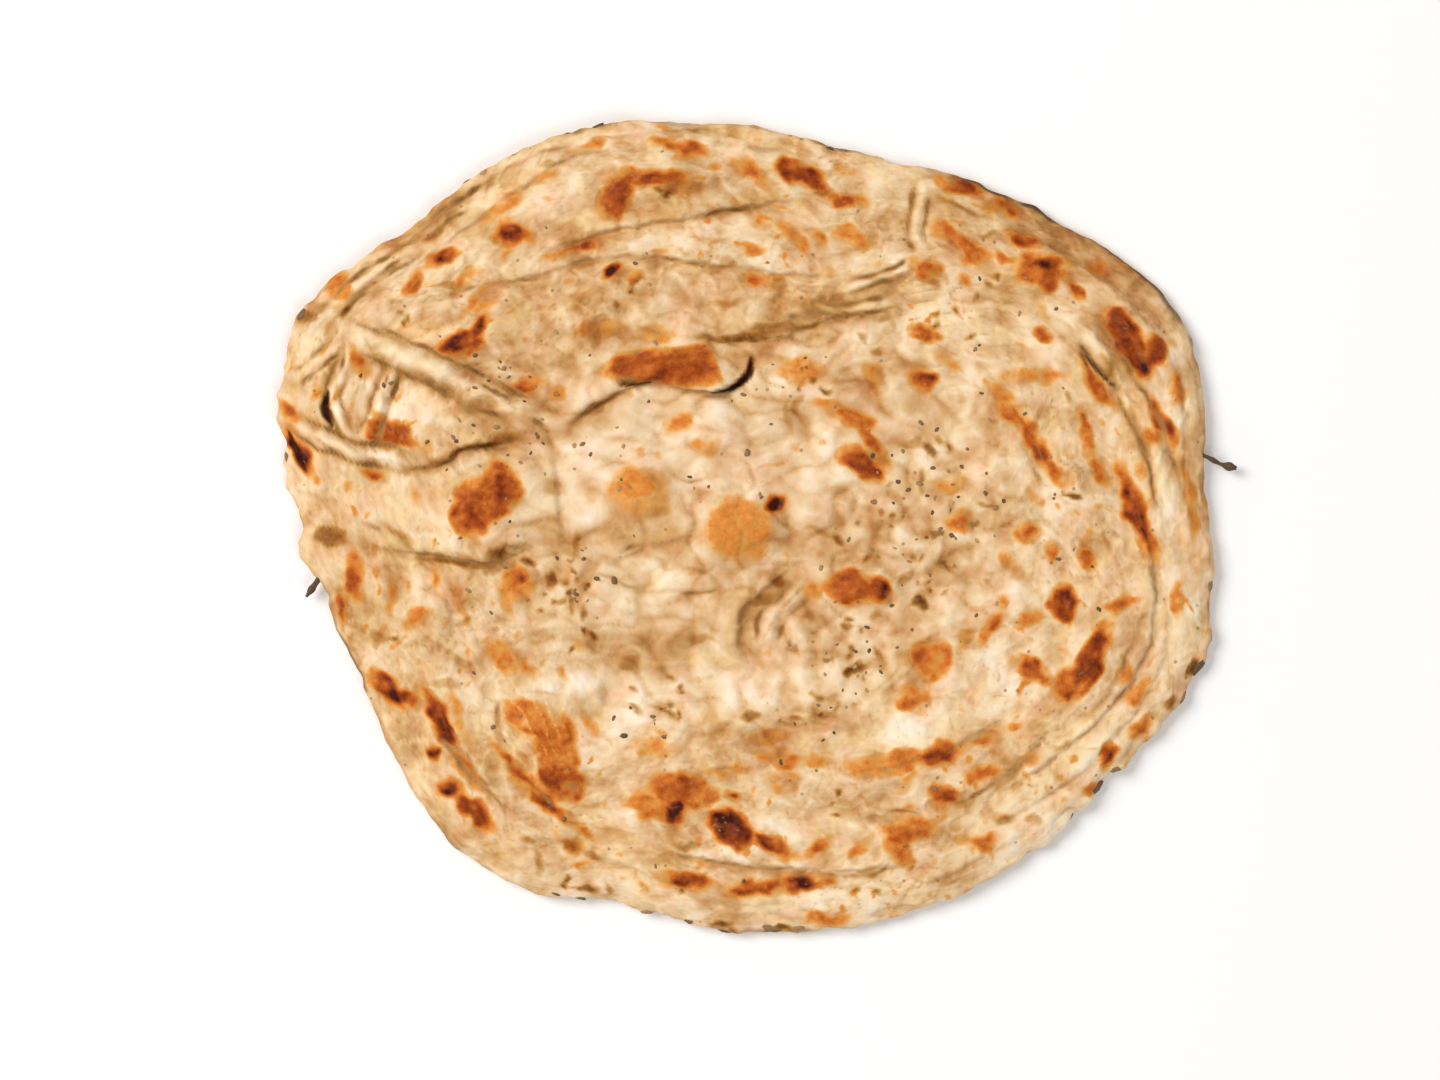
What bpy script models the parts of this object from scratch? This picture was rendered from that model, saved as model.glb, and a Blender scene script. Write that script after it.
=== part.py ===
"""Malawah: a pan-fried flatbread of thin dough layers, folded, coiled and pressed into a disc.

The tables and the form functions are in millimetres, and MM turns them into Blender's metres.
X runs along the bread's long side, Y across it and Z up from the face it rests on.
"""

import math
from collections import namedtuple

import bmesh
import bpy
import numpy as np
from mathutils import Vector

MM = 0.001

# Driving dimensions of the disc.
CENTRE_THICKNESS = 7.0
SHOULDER_THICKNESS = 9.6
RIM_THICKNESS = 7.0
RIM_ROUNDING = 7.0
LEAST_THICKNESS = 3.5

# The outline: an oval, pressed further out in its bulges and drawn in where a bulge is negative.
# Each has the angle in its middle, counter-clockwise from +X, how far round it reaches and its height.
HALF_LENGTH = 140.0
HALF_WIDTH = 120.0
Bulge = namedtuple("Bulge", "angle spread height")
BULGES = (
    Bulge(8, 12, -4),
    Bulge(25, 18, 11),
    Bulge(72, 12, -3),
    Bulge(118, 22, 8),
    Bulge(155, 13, 14),
    Bulge(198, 22, -14),
    Bulge(234, 16, 4),
    Bulge(252, 10, -4),
    Bulge(300, 24, 4),
    Bulge(345, 14, 5),
)
# Where the edge is torn into small lobes: the angle, how wide the torn stretch is, and the lobes' depth.
TORN_EDGES = ((165, 22, 2.2), (-30, 22, 1.8), (-95, 16, 1.2))

# The coil: turns of rolled dough that show between the middle and the rim.
COIL_TURNS = 6.0
COIL_DEPTH = 1.3
COIL_START = 0.45

# The unevenness of the upper face: how wide its lumps, swells, puffs and wrinkles are, and how high.
WAVER_WIDTH = 30.0
PATCH_WIDTH = 22.0
LUMP_WIDTH = 17.0
SMALL_LUMP_WIDTH = 8.0
SWELL_WIDTH = 45.0
SWELL_HEIGHT = 0.8
PUFF_LENGTH = 14.0
PUFF_WIDTH = 12.0
PUFF_HEIGHT = 1.3
PUFF_SHIFT = 5.0
PUFF_SHIFT_WIDTH = 16.0
WRINKLE_HEIGHT = 0.5

# The underside touches the table out to this fraction of the way to the rim, then lifts.
CONTACT = 0.80
RIM_LIFT = 1.6
DIMPLE_DEPTH = 0.9
DIMPLE_WIDTH = 13.0

# The profile of a fold's edge: the width of its step, and the lip above and the groove below it, each
# with its distance from the edge, its width and its share of the rise.
STEP_WIDTH = 2.6
LIP_DISTANCE = 2.6
LIP_WIDTH = 2.4
LIP_SHARE = 0.25
GROOVE_DISTANCE = 1.2
GROOVE_WIDTH = 1.9
GROOVE_SHARE = 0.45

# A fold whose edge runs along the coil, from one angle to another, at these fractions of the way
# out to the rim. The inner side stands above the outer side, or below it where the rise is negative.
CoilFold = namedtuple("CoilFold", "start end first middle last rise reach")
COIL_FOLDS = (
    CoilFold(-55, 9, 0.79, 0.88, 0.82, 1.3, 12),
    CoilFold(-54, -9, 0.87, 0.93, 0.90, 0.8, 8),
    CoilFold(-108, -56, 0.84, 0.84, 0.91, 1.2, 12),
    CoilFold(-121, -77, 0.85, 0.92, 0.92, 0.8, 8),
    CoilFold(-162, -122, 0.86, 0.84, 0.85, 1.1, 10),
    CoilFold(-146, -118, 0.72, 0.76, 0.79, 0.9, 9),
    CoilFold(-52, -25, 0.48, 0.49, 0.45, 0.8, 8),
    CoilFold(4, 30, 0.73, 0.63, 0.60, -1.3, 10),
    CoilFold(-1, 36, 0.92, 0.84, 0.84, 1.0, 8),
    CoilFold(9, 58, 0.97, 0.93, 0.96, 1.6, 12),
    CoilFold(95, 151, 0.96, 0.98, 0.96, -0.8, 5),
    CoilFold(109, 152, 0.93, 0.92, 0.91, -0.8, 6),
)

# A fold whose edge crosses the coil, as points along it. The side on its left stands above its right.
Fold = namedtuple("Fold", "points rise reach")
FOLDS = (
    Fold(((-73, 78), (-43, 89), (-16, 94), (8, 98), (21, 99)), 1.3, 12),
    Fold(((-94, 68), (-68, 75), (-40, 82), (-13, 80), (26, 76), (41, 80)), 1.1, 13),
    Fold(((-13, 56), (8, 57), (28, 64), (49, 64)), 1.6, 10),
    Fold(((-56, 28), (-44, 39), (-28, 45), (-6, 42), (3, 50)), 3.0, 17),
    Fold(((-104, 18), (-89, 21), (-84, 25), (-58, 27)), 2.6, 15),
    Fold(((-117, -5), (-91, -7), (-76, -9), (-54, -1)), 1.7, 14),
    Fold(((-55, -5), (-56, 9), (-58, 28)), 0.9, 10),
    Fold(((-43, -13), (-29, -5), (-10, -1)), 1.0, 8),
    Fold(((-50, -14), (-26, -18), (-4, -18)), 1.0, 9),
    Fold(((-1, -41), (0, -24), (19, -8)), 1.3, 9),
)

# A rope of dough, or a raised pleat, as points along it, its width and its height.
Rope = namedtuple("Rope", "points width height")
ROPES = (
    Rope(((-119, 61), (-100, 51), (-76, 40), (-57, 29)), 6.5, 1.9),
    Rope(((-138, 35), (-122, 25), (-94, 19)), 5.5, 2.0),
    Rope(((-104, 53), (-109, 36), (-114, 24)), 5.0, 1.5),
    Rope(((-117, 54), (-123, 39), (-116, 25)), 4.5, 1.3),
    Rope(((21, -15), (9, -27), (6, -36)), 6.0, 1.2),
    Rope(((55, 106), (52, 91), (54, 82)), 4.5, 1.0),
    Rope(((26, 71), (44, 76), (52, 80)), 3.5, 1.0),
)

# A blister, where steam has lifted the top layer: its middle, its half length and half width,
# the turn of its long side in degrees and its height.
Blister = namedtuple("Blister", "x y length width turn height")
BLISTERS = (
    Blister(-76, 12, 16, 13, 50, 2.8),
    Blister(-33, 14, 11, 10, 0, 2.6),
    Blister(0, 1, 14, 13, 0, 2.8),
    Blister(-13, 27, 10, 8, 20, 1.5),
    Blister(-43, 27, 12, 8, 35, 1.4),
    Blister(-1, 31, 14, 9, 0, 1.1),
    Blister(-52, -48, 12, 8, 0, 1.9),
    Blister(-43, -24, 14, 8, 0, 1.3),
    Blister(34, -18, 11, 8, 0, 1.5),
    Blister(56, -47, 17, 10, 40, 1.2),
    Blister(-61, -63, 15, 10, -40, 2.0),
    Blister(-19, -78, 14, 9, 10, 1.8),
    Blister(0, -91, 10, 7, -30, 1.2),
    Blister(50, -69, 24, 7, 14, 1.6),
    Blister(49, -92, 11, 8, 25, 1.4),
    Blister(104, -38, 16, 7, 62, 1.8),
    Blister(-59, 100, 15, 8, 30, 1.6),
    Blister(-28, 105, 15, 8, 0, 1.5),
    Blister(17, 48, 12, 9, 0, 1.2),
    Blister(35, 27, 12, 8, -40, 1.4),
    Blister(65, 84, 15, 7, -38, 1.4),
    Blister(88, 80, 11, 7, -15, 1.5),
    Blister(119, 57, 14, 7, -55, 1.4),
    Blister(-103, 30, 10, 7, -20, 1.2),
    Blister(-84, 55, 10, 7, 10, 1.2),
    Blister(-94, -26, 14, 8, 25, 1.3),
)

# Scorched shreds of dough that stick out of the rim: points along each, from inside the bread to its tip.
SHREDS = (
    ((133, 24.5), (140, 21.5), (144, 19.5), (148.5, 18.3)),
    ((-124, -10), (-128, -15.5), (-131.4, -20.4)),
)
SHRED_RADIUS = 0.8
SHRED_HEIGHT = 4.5

# The surface mesh: the ball it starts from, and the share of its faces that is kept.
BALL_SUBDIVISIONS = 8
KEPT_FACES = 0.0352

CURVE_STEPS = 10
LATTICE = 64
CRUST_COLOUR = (0.70, 0.43, 0.20, 1.0)
CHAR_COLOUR = (0.06, 0.03, 0.02, 1.0)


def clear_scene():
    for item in list(bpy.data.objects):
        bpy.data.objects.remove(item, do_unlink=True)


def smooth(t):
    """0 below 0, 1 above 1, and an even ramp between."""
    t = np.clip(t, 0.0, 1.0)
    return t * t * (3.0 - 2.0 * t)


def noise(u, v, seed):
    """Smooth unevenness between about -1 and 1, with cells one unit wide (gradient noise)."""
    turns = np.random.default_rng(seed).uniform(0.0, 2.0 * math.pi, (LATTICE, LATTICE))
    cell_u = np.floor(u).astype(int)
    cell_v = np.floor(v).astype(int)
    part_u = u - cell_u
    part_v = v - cell_v

    def slope_from(step_u, step_v):
        turn = turns[(cell_u + step_u) % LATTICE, (cell_v + step_v) % LATTICE]
        return np.cos(turn) * (part_u - step_u) + np.sin(turn) * (part_v - step_v)

    blend_u = smooth(part_u)
    blend_v = smooth(part_v)
    near = slope_from(0, 0) * (1.0 - blend_u) + slope_from(1, 0) * blend_u
    far = slope_from(0, 1) * (1.0 - blend_u) + slope_from(1, 1) * blend_u
    return 1.6 * (near * (1.0 - blend_v) + far * blend_v)


def smooth_curve(points):
    """Points along the smooth (Catmull-Rom) curve through the given points."""
    given = np.asarray(points, dtype=float)
    ends = (2 * given[:1] - given[1:2], given, 2 * given[-1:] - given[-2:-1])
    held = np.concatenate(ends)
    t = np.linspace(0.0, 1.0, CURVE_STEPS, endpoint=False)[:, None]
    pieces = []
    for before, start, end, after in zip(held, held[1:], held[2:], held[3:]):
        slope = (end - before) * t
        bend = (2 * before - 5 * start + 4 * end - after) * t**2
        turn = (3 * start - before - 3 * end + after) * t**3
        pieces.append(start + 0.5 * (slope + bend + turn))
    return np.concatenate(pieces + [given[-1:]])


def degrees_from(angle, middle):
    """How far an angle in radians is from one in degrees, in degrees and the shorter way round."""
    return (np.degrees(angle) - middle + 180.0) % 360.0 - 180.0


def outline_radius(angle):
    """The distance from the middle to the edge at an angle in radians."""
    across = np.hypot(HALF_WIDTH * np.cos(angle), HALF_LENGTH * np.sin(angle))
    radius = HALF_LENGTH * HALF_WIDTH / across
    for bulge in BULGES:
        radius = radius + bulge.height * np.exp(-((degrees_from(angle, bulge.angle) / bulge.spread) ** 2))
    return radius


def cells_around(angle, times):
    """The angle as lattice cells that meet again after a full turn."""
    return times * LATTICE * angle / (2.0 * math.pi)


def edge_tears(angle):
    """How far the edge is torn in or out at an angle, in small uneven lobes."""
    row = np.zeros(angle.shape)
    lobes = noise(cells_around(angle, 1), row + 0.4, 3) + 0.8 * noise(cells_around(angle, 2), row + 0.4, 4)
    lobes += 0.25 * noise(cells_around(angle, 5), row + 0.4, 5)
    tears = 0.6 * lobes
    for middle, spread, depth in TORN_EDGES:
        tears = tears + depth * lobes * np.exp(-((degrees_from(angle, middle) / spread) ** 2))
    return tears


def edge_radius(angle):
    return outline_radius(angle) + edge_tears(angle)


def distance_to_curve(x, y, curve):
    """The distance to the nearest point of a curve, positive on its left, and how far along that is."""
    best = np.full(x.shape, np.inf)
    side = np.ones(x.shape)
    along = np.zeros(x.shape)
    last = len(curve) - 1
    for index, (start, end) in enumerate(zip(curve, curve[1:])):
        run = end - start
        from_x = x - start[0]
        from_y = y - start[1]
        t = np.clip((from_x * run[0] + from_y * run[1]) / (run @ run), 0.0, 1.0)
        gap = np.hypot(from_x - t * run[0], from_y - t * run[1])
        nearer = gap < best
        best = np.where(nearer, gap, best)
        side = np.where(nearer, np.sign(run[0] * from_y - run[1] * from_x), side)
        along = np.where(nearer, (index + t) / last, along)
    return best * np.where(side == 0, 1.0, side), along


def end_taper(along):
    """1 along the middle of a fold, falling to 0 at both of its ends."""
    return smooth(along / 0.28) * smooth((1.0 - along) / 0.28)


def near_curve(x, y, curve, reach):
    """Which of the points lie within reach of the curve's box."""
    low = curve.min(axis=0) - reach
    high = curve.max(axis=0) + reach
    return (x > low[0]) & (x < high[0]) & (y > low[1]) & (y < high[1])


def fold_relief(x, y, curve, rise, reach):
    """The step where one layer lies over another: a rounded lip, and a groove under it."""
    relief = np.zeros(x.shape)
    near = near_curve(x, y, curve, 2.5 * reach)
    gap, along = distance_to_curve(x[near], y[near], curve)
    taper = end_taper(along)
    if rise < 0:
        gap = -gap
    step = smooth(gap / STEP_WIDTH + 0.3) * np.exp(-((np.maximum(gap, 0.0) / reach) ** 2))
    lip = np.exp(-(((gap - LIP_DISTANCE) / LIP_WIDTH) ** 2))
    groove = np.exp(-(((gap + GROOVE_DISTANCE) / GROOVE_WIDTH) ** 2))
    relief[near] = taper * abs(rise) * (step + LIP_SHARE * lip - GROOVE_SHARE * groove)
    return relief


def rope_relief(x, y, rope):
    """A rounded ridge with a shallow crease along each side."""
    relief = np.zeros(x.shape)
    curve = smooth_curve(rope.points)
    near = near_curve(x, y, curve, 2.0 * rope.width)
    gap, along = distance_to_curve(x[near], y[near], curve)
    across = np.abs(gap) / (0.5 * rope.width)
    crown = 0.5 + 0.5 * np.cos(math.pi * np.minimum(across, 1.0))
    crease = np.exp(-(((across - 1.15) / 0.4) ** 2))
    relief[near] = end_taper(along) * rope.height * (crown - 0.35 * crease)
    return relief


def blister_relief(x, y, blister):
    """A low dome, steeper at its edge than on its crown."""
    turn = math.radians(blister.turn)
    from_x = x - blister.x
    from_y = y - blister.y
    along = (from_x * math.cos(turn) + from_y * math.sin(turn)) / blister.length
    across = (from_y * math.cos(turn) - from_x * math.sin(turn)) / blister.width
    away = along**2 + across**2
    return 1.2 * blister.height * np.exp(-(away**1.4))


def coil_relief(x, y, fraction, angle):
    """Rounded turns of dough that follow the rim, fading out towards the middle."""
    waver = 0.5 * noise(x / WAVER_WIDTH, y / WAVER_WIDTH, 11)
    turns = COIL_TURNS * fraction + angle / (2 * math.pi) + waver
    part = turns - np.floor(turns)
    round_top = 1.0 - np.abs(2.0 * part - 1.0) ** 3
    patches = 0.65 + 0.35 * noise(x / PATCH_WIDTH, y / PATCH_WIDTH, 12)
    strength = smooth((fraction - COIL_START) / 0.3) * patches
    return COIL_DEPTH * strength * (round_top - 0.6)


def lump_relief(x, y, fraction):
    """Soft lumps all over, higher in the middle, and puffs with creases between them in the middle."""
    lumps = noise(x / LUMP_WIDTH, y / LUMP_WIDTH, 21)
    lumps += 0.5 * noise(x / SMALL_LUMP_WIDTH, y / SMALL_LUMP_WIDTH, 22)
    swells = noise(x / SWELL_WIDTH, y / SWELL_WIDTH, 24)
    shift_x = PUFF_SHIFT * noise(x / PUFF_SHIFT_WIDTH, y / PUFF_SHIFT_WIDTH, 15)
    shift_y = PUFF_SHIFT * noise(x / PUFF_SHIFT_WIDTH, y / PUFF_SHIFT_WIDTH, 16)
    puffs = np.sqrt(np.abs(noise((x + shift_x) / PUFF_LENGTH, (y + shift_y) / PUFF_WIDTH, 23)))
    inner = smooth((0.75 - fraction) / 0.3)
    return lumps * (0.5 + 0.6 * inner) + SWELL_HEIGHT * swells + PUFF_HEIGHT * inner * puffs


def wrinkle_relief(fraction, angle):
    """Long shallow wrinkles that run along the coil, outside the middle."""
    wrinkles = noise(cells_around(angle, 1), fraction * 24.0, 25)
    wrinkles += 0.5 * noise(cells_around(angle, 2), fraction * 45.0, 26)
    return WRINKLE_HEIGHT * wrinkles * smooth((fraction - 0.35) / 0.3)


def plain_thickness(fraction):
    """The thickness from the dished middle, over the shoulder, down to the rim."""
    shoulder = CENTRE_THICKNESS + (SHOULDER_THICKNESS - CENTRE_THICKNESS) * smooth((fraction - 0.3) / 0.35)
    return shoulder + (RIM_THICKNESS - SHOULDER_THICKNESS) * smooth((fraction - 0.85) / 0.15)


def coil_curve(fold):
    """The edge of a fold that runs along the coil."""
    angles = np.radians(np.linspace(fold.start, fold.end, 3 * CURVE_STEPS))
    t = np.linspace(0.0, 1.0, 3 * CURVE_STEPS)
    ends = fold.first * (1 - t) * (1 - 2 * t) + fold.last * t * (2 * t - 1)
    fractions = ends + 4 * fold.middle * t * (1 - t)
    radii = fractions * outline_radius(angles)
    return np.stack((radii * np.cos(angles), radii * np.sin(angles)), axis=1)


def top_height(x, y):
    """The height of the upper face above the table."""
    angle = np.arctan2(y, x)
    fraction = np.hypot(x, y) / outline_radius(angle)
    height = plain_thickness(fraction) + coil_relief(x, y, fraction, angle)
    height += lump_relief(x, y, fraction) + wrinkle_relief(fraction, angle)
    for fold in COIL_FOLDS:
        height += fold_relief(x, y, coil_curve(fold), fold.rise, fold.reach)
    for fold in FOLDS:
        height += fold_relief(x, y, smooth_curve(fold.points), fold.rise, fold.reach)
    for rope in ROPES:
        height += rope_relief(x, y, rope)
    for blister in BLISTERS:
        height += blister_relief(x, y, blister)
    return height


def underside_height(x, y):
    """The height of the lower face: flat on the table, with shallow hollows, lifting at the rim."""
    fraction = np.hypot(x, y) / outline_radius(np.arctan2(y, x))
    lift = RIM_LIFT * smooth((fraction - CONTACT) / (1.0 - CONTACT))
    dimples = smooth(2.0 * noise(x / DIMPLE_WIDTH, y / DIMPLE_WIDTH, 31) - 0.5)
    return np.maximum(lift, DIMPLE_DEPTH * dimples * smooth((fraction - 0.15) / 0.1))


def form_bread(ball):
    """The places on the bread, in millimetres, of points on a ball of radius 1.

    The ball's upper half becomes the upper face, spread evenly, and its equator the rim's edge.
    """
    x, y, z = ball.T
    angle = np.arctan2(y, x)
    radius = edge_radius(angle)
    flat = radius - RIM_ROUNDING
    path = np.sqrt(1.0 - np.minimum(np.abs(z), 1.0)) * (flat + 0.5 * math.pi * RIM_ROUNDING)
    bend = np.clip((path - flat) / RIM_ROUNDING, 0.0, 0.5 * math.pi)
    reach = np.minimum(path, flat) + RIM_ROUNDING * np.sin(bend)
    plan_x = reach * np.cos(angle)
    plan_y = reach * np.sin(angle)
    low = underside_height(plan_x, plan_y)
    high = np.maximum(top_height(plan_x, plan_y), low + LEAST_THICKNESS)
    middle = low + 0.5 * (RIM_THICKNESS - RIM_LIFT) * (high - low) / RIM_THICKNESS
    faces = np.where(z >= 0.0, high, low)
    height = middle + (faces - middle) * np.cos(bend)
    return np.stack((plan_x, plan_y, height), axis=1)


def new_material(name, colour, roughness):
    material = bpy.data.materials.new(name)
    material.use_nodes = True
    shader = material.node_tree.nodes["Principled BSDF"]
    shader.inputs["Base Color"].default_value = colour
    shader.inputs["Roughness"].default_value = roughness
    shader.inputs["Metallic"].default_value = 0.0
    return material


def new_collection(name):
    collection = bpy.data.collections.new(name)
    bpy.context.scene.collection.children.link(collection)
    return collection


def make_bread(collection):
    """The whole bread, from a fine ball shaped by the form functions and then thinned out."""
    ball = bmesh.new()
    bmesh.ops.create_icosphere(ball, subdivisions=BALL_SUBDIVISIONS, radius=1.0)
    mesh = bpy.data.meshes.new("bread")
    ball.to_mesh(mesh)
    ball.free()
    places = np.empty(3 * len(mesh.vertices))
    mesh.vertices.foreach_get("co", places)
    formed = form_bread(places.reshape(-1, 3)) * MM
    mesh.vertices.foreach_set("co", formed.ravel())
    mesh.update()
    mesh.materials.append(new_material("toasted_dough", CRUST_COLOUR, 0.7))
    bread = bpy.data.objects.new("bread", mesh)
    collection.objects.link(bread)
    thinning = bread.modifiers.new("thinning", "DECIMATE")
    thinning.ratio = KEPT_FACES
    return bread


def make_shred(name, points, collection):
    """A thin scorched shred of dough, thickest in its middle, as a closed mesh."""
    line = bpy.data.curves.new(name, "CURVE")
    line.dimensions = "3D"
    line.bevel_depth = SHRED_RADIUS * MM
    line.bevel_resolution = 1
    line.use_fill_caps = True
    spline = line.splines.new("POLY")
    spline.points.add(len(points) - 1)
    for index, (place, (x, y)) in enumerate(zip(spline.points, points)):
        place.co = (x * MM, y * MM, SHRED_HEIGHT * MM, 1.0)
        place.radius = 1.3 - 0.6 * index / (len(points) - 1)
    drawn = bpy.data.objects.new(name + "_line", line)
    collection.objects.link(drawn)
    bpy.context.view_layer.update()
    evaluated = drawn.evaluated_get(bpy.context.evaluated_depsgraph_get())
    mesh = bpy.data.meshes.new_from_object(evaluated)
    bpy.data.objects.remove(drawn, do_unlink=True)
    welded = bmesh.new()
    welded.from_mesh(mesh)
    bmesh.ops.remove_doubles(welded, verts=welded.verts, dist=0.00001)
    bmesh.ops.recalc_face_normals(welded, faces=welded.faces)
    welded.to_mesh(mesh)
    welded.free()
    mesh.materials.append(new_material("scorched_dough", CHAR_COLOUR, 0.9))
    shred = bpy.data.objects.new(name, mesh)
    shred.hide_render = True
    shred.display_type = "WIRE"
    collection.objects.link(shred)


def fuse_shreds(bread):
    """Joins the scorched shreds to the bread and removes their own objects."""
    joined = new_collection("shreds")
    for index, points in enumerate(SHREDS):
        make_shred(f"shred_{index + 1}", points, joined)
    union = bread.modifiers.new("shreds", "BOOLEAN")
    union.operation = "UNION"
    union.operand_type = "COLLECTION"
    union.collection = joined
    bpy.context.view_layer.update()
    evaluated = bread.evaluated_get(bpy.context.evaluated_depsgraph_get())
    mesh = bpy.data.meshes.new_from_object(evaluated)
    bread.modifiers.clear()
    bread.data = mesh
    mesh.name = "bread"
    for shred in list(joined.objects):
        bpy.data.objects.remove(shred, do_unlink=True)
    bpy.data.collections.remove(joined)


def stand_on_origin(bread):
    """Cuts the mesh into triangles and stands it with the middle of its box over the origin."""
    corners = [Vector(corner) for corner in bread.bound_box]
    low = Vector(map(min, zip(*corners)))
    high = Vector(map(max, zip(*corners)))
    middle = (low + high) / 2
    form = bmesh.new()
    form.from_mesh(bread.data)
    bmesh.ops.triangulate(form, faces=form.faces)
    bmesh.ops.translate(form, verts=form.verts, vec=(-middle.x, -middle.y, -low.z))
    form.to_mesh(bread.data)
    form.free()
    bread.data.shade_smooth()


def main():
    clear_scene()
    collection = new_collection("malawah")
    bread = make_bread(collection)
    fuse_shreds(bread)
    stand_on_origin(bread)


main()
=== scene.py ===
"""Looks of the malawah: a fine mesh of the bread with its folds, blisters and flakes, browned by a node
material, with its charred flecks and shreds, on a plain pale floor.

The tables and the form functions are in millimetres about the middle of the outline, as in the solid.
"""

import math
from collections import namedtuple
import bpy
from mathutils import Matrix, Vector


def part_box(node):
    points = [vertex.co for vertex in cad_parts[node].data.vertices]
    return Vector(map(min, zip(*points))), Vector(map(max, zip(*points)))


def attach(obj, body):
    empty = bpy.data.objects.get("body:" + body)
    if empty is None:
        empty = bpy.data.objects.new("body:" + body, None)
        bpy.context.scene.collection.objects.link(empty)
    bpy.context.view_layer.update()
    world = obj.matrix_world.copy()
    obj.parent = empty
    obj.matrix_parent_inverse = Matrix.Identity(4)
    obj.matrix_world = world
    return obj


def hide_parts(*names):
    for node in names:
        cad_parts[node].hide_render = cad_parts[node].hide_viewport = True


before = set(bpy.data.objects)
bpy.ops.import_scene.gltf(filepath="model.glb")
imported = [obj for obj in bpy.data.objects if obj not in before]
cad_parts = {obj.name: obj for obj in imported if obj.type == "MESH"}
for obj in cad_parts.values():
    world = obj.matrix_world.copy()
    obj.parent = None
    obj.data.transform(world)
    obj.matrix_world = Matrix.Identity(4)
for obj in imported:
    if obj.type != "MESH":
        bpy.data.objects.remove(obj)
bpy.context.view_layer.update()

from types import SimpleNamespace

import bmesh
import bpy
import numpy as np
from mathutils import Matrix, Vector
from mathutils.bvhtree import BVHTree

MM = 0.001

# ---------------------------------------------------------------- the disc, as in the solid
CENTRE_THICKNESS = 7.0
SHOULDER_THICKNESS = 9.6
RIM_THICKNESS = 7.0
RIM_ROUNDING = 7.0
LEAST_THICKNESS = 3.5
HALF_LENGTH = 140.0
HALF_WIDTH = 120.0
# A bulge of the outline, or a hollow where it is negative: its middle in degrees, spread and height.
Bulge = namedtuple("Bulge", "angle spread height")
BULGES = tuple(Bulge(*row) for row in (
    (8, 12, -4), (25, 18, 11), (72, 12, -3), (118, 22, 8), (155, 13, 14), (198, 22, -14), (234, 16, 4),
    (252, 10, -4), (300, 24, 4), (345, 14, 5),
))
TORN_EDGES = ((165, 22, 2.2), (-30, 22, 1.8), (-95, 16, 1.2))
COIL_TURNS = 6.0
COIL_DEPTH = 1.3
COIL_START = 0.45
CONTACT = 0.80
RIM_LIFT = 1.6
DIMPLE_DEPTH = 0.9
LATTICE = 64
CURVE_STEPS = 10

# A fold along the coil: from one angle to another, at these fractions of the way out. The inner side
# stands above the outer one by the rise, or below it where the rise is negative. dark is how deep
# the painted shade in its crease and on its low side is, and how browned its lip is, and lean how far its
# lip hangs over the crease.
CoilFold = namedtuple("CoilFold", "start end first middle last rise reach dark lean")
COIL_FOLDS = tuple(CoilFold(*row) for row in (
    (-55, 9, 0.79, 0.88, 0.82, 1.3, 12, 0.4, 0.6), (-54, -9, 0.87, 0.93, 0.9, 0.8, 8, 0.25, 0.3),
    (-108, -56, 0.84, 0.84, 0.91, 1.2, 12, 0.3, 0.5), (-121, -77, 0.85, 0.92, 0.92, 0.8, 8, 0.2, 0.3),
    (-162, -122, 0.86, 0.84, 0.85, 1.1, 10, 0.25, 0.5), (-146, -118, 0.72, 0.76, 0.79, 0.9, 9, 0.35, 0.4),
    (-52, -25, 0.48, 0.49, 0.45, 0.8, 8, 0.25, 0.3), (4, 30, 0.73, 0.63, 0.6, -1.3, 10, 0.2, 0.3),
    (-1, 36, 0.92, 0.84, 0.84, 1.0, 8, 0.25, 0.4), (9, 58, 0.97, 0.93, 0.96, 0.8, 12, 0.1, 0.2),
    (95, 151, 0.96, 0.98, 0.96, -0.8, 5, 0.35, 0.4), (109, 152, 0.93, 0.92, 0.91, -0.8, 6, 0.3, 0.4),
    (128, 150, 0.86, 0.85, 0.86, -0.5, 5, 0.25, 0.2), (75, 97, 0.94, 0.96, 0.94, -0.6, 4, 0.3, 0.3),
    (-50, -8, 0.82, 0.8, 0.76, 0.6, 6, 0.15, 0.2), (-48, -20, 0.96, 0.97, 0.96, 0.6, 5, 0.25, 0.3),
    (-8, 24, 0.96, 0.95, 0.95, 0.6, 5, 0.25, 0.3), (-66, -38, 0.63, 0.67, 0.73, 0.8, 7, 0.2, 0.3),
    (-72, -44, 0.74, 0.76, 0.8, 0.8, 7, 0.25, 0.4), (-150, -128, 0.93, 0.94, 0.93, 0.5, 5, 0.15, 0.2),
    (-70, -40, 0.94, 0.94, 0.95, 0.5, 5, 0.2, 0.2),
))

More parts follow.
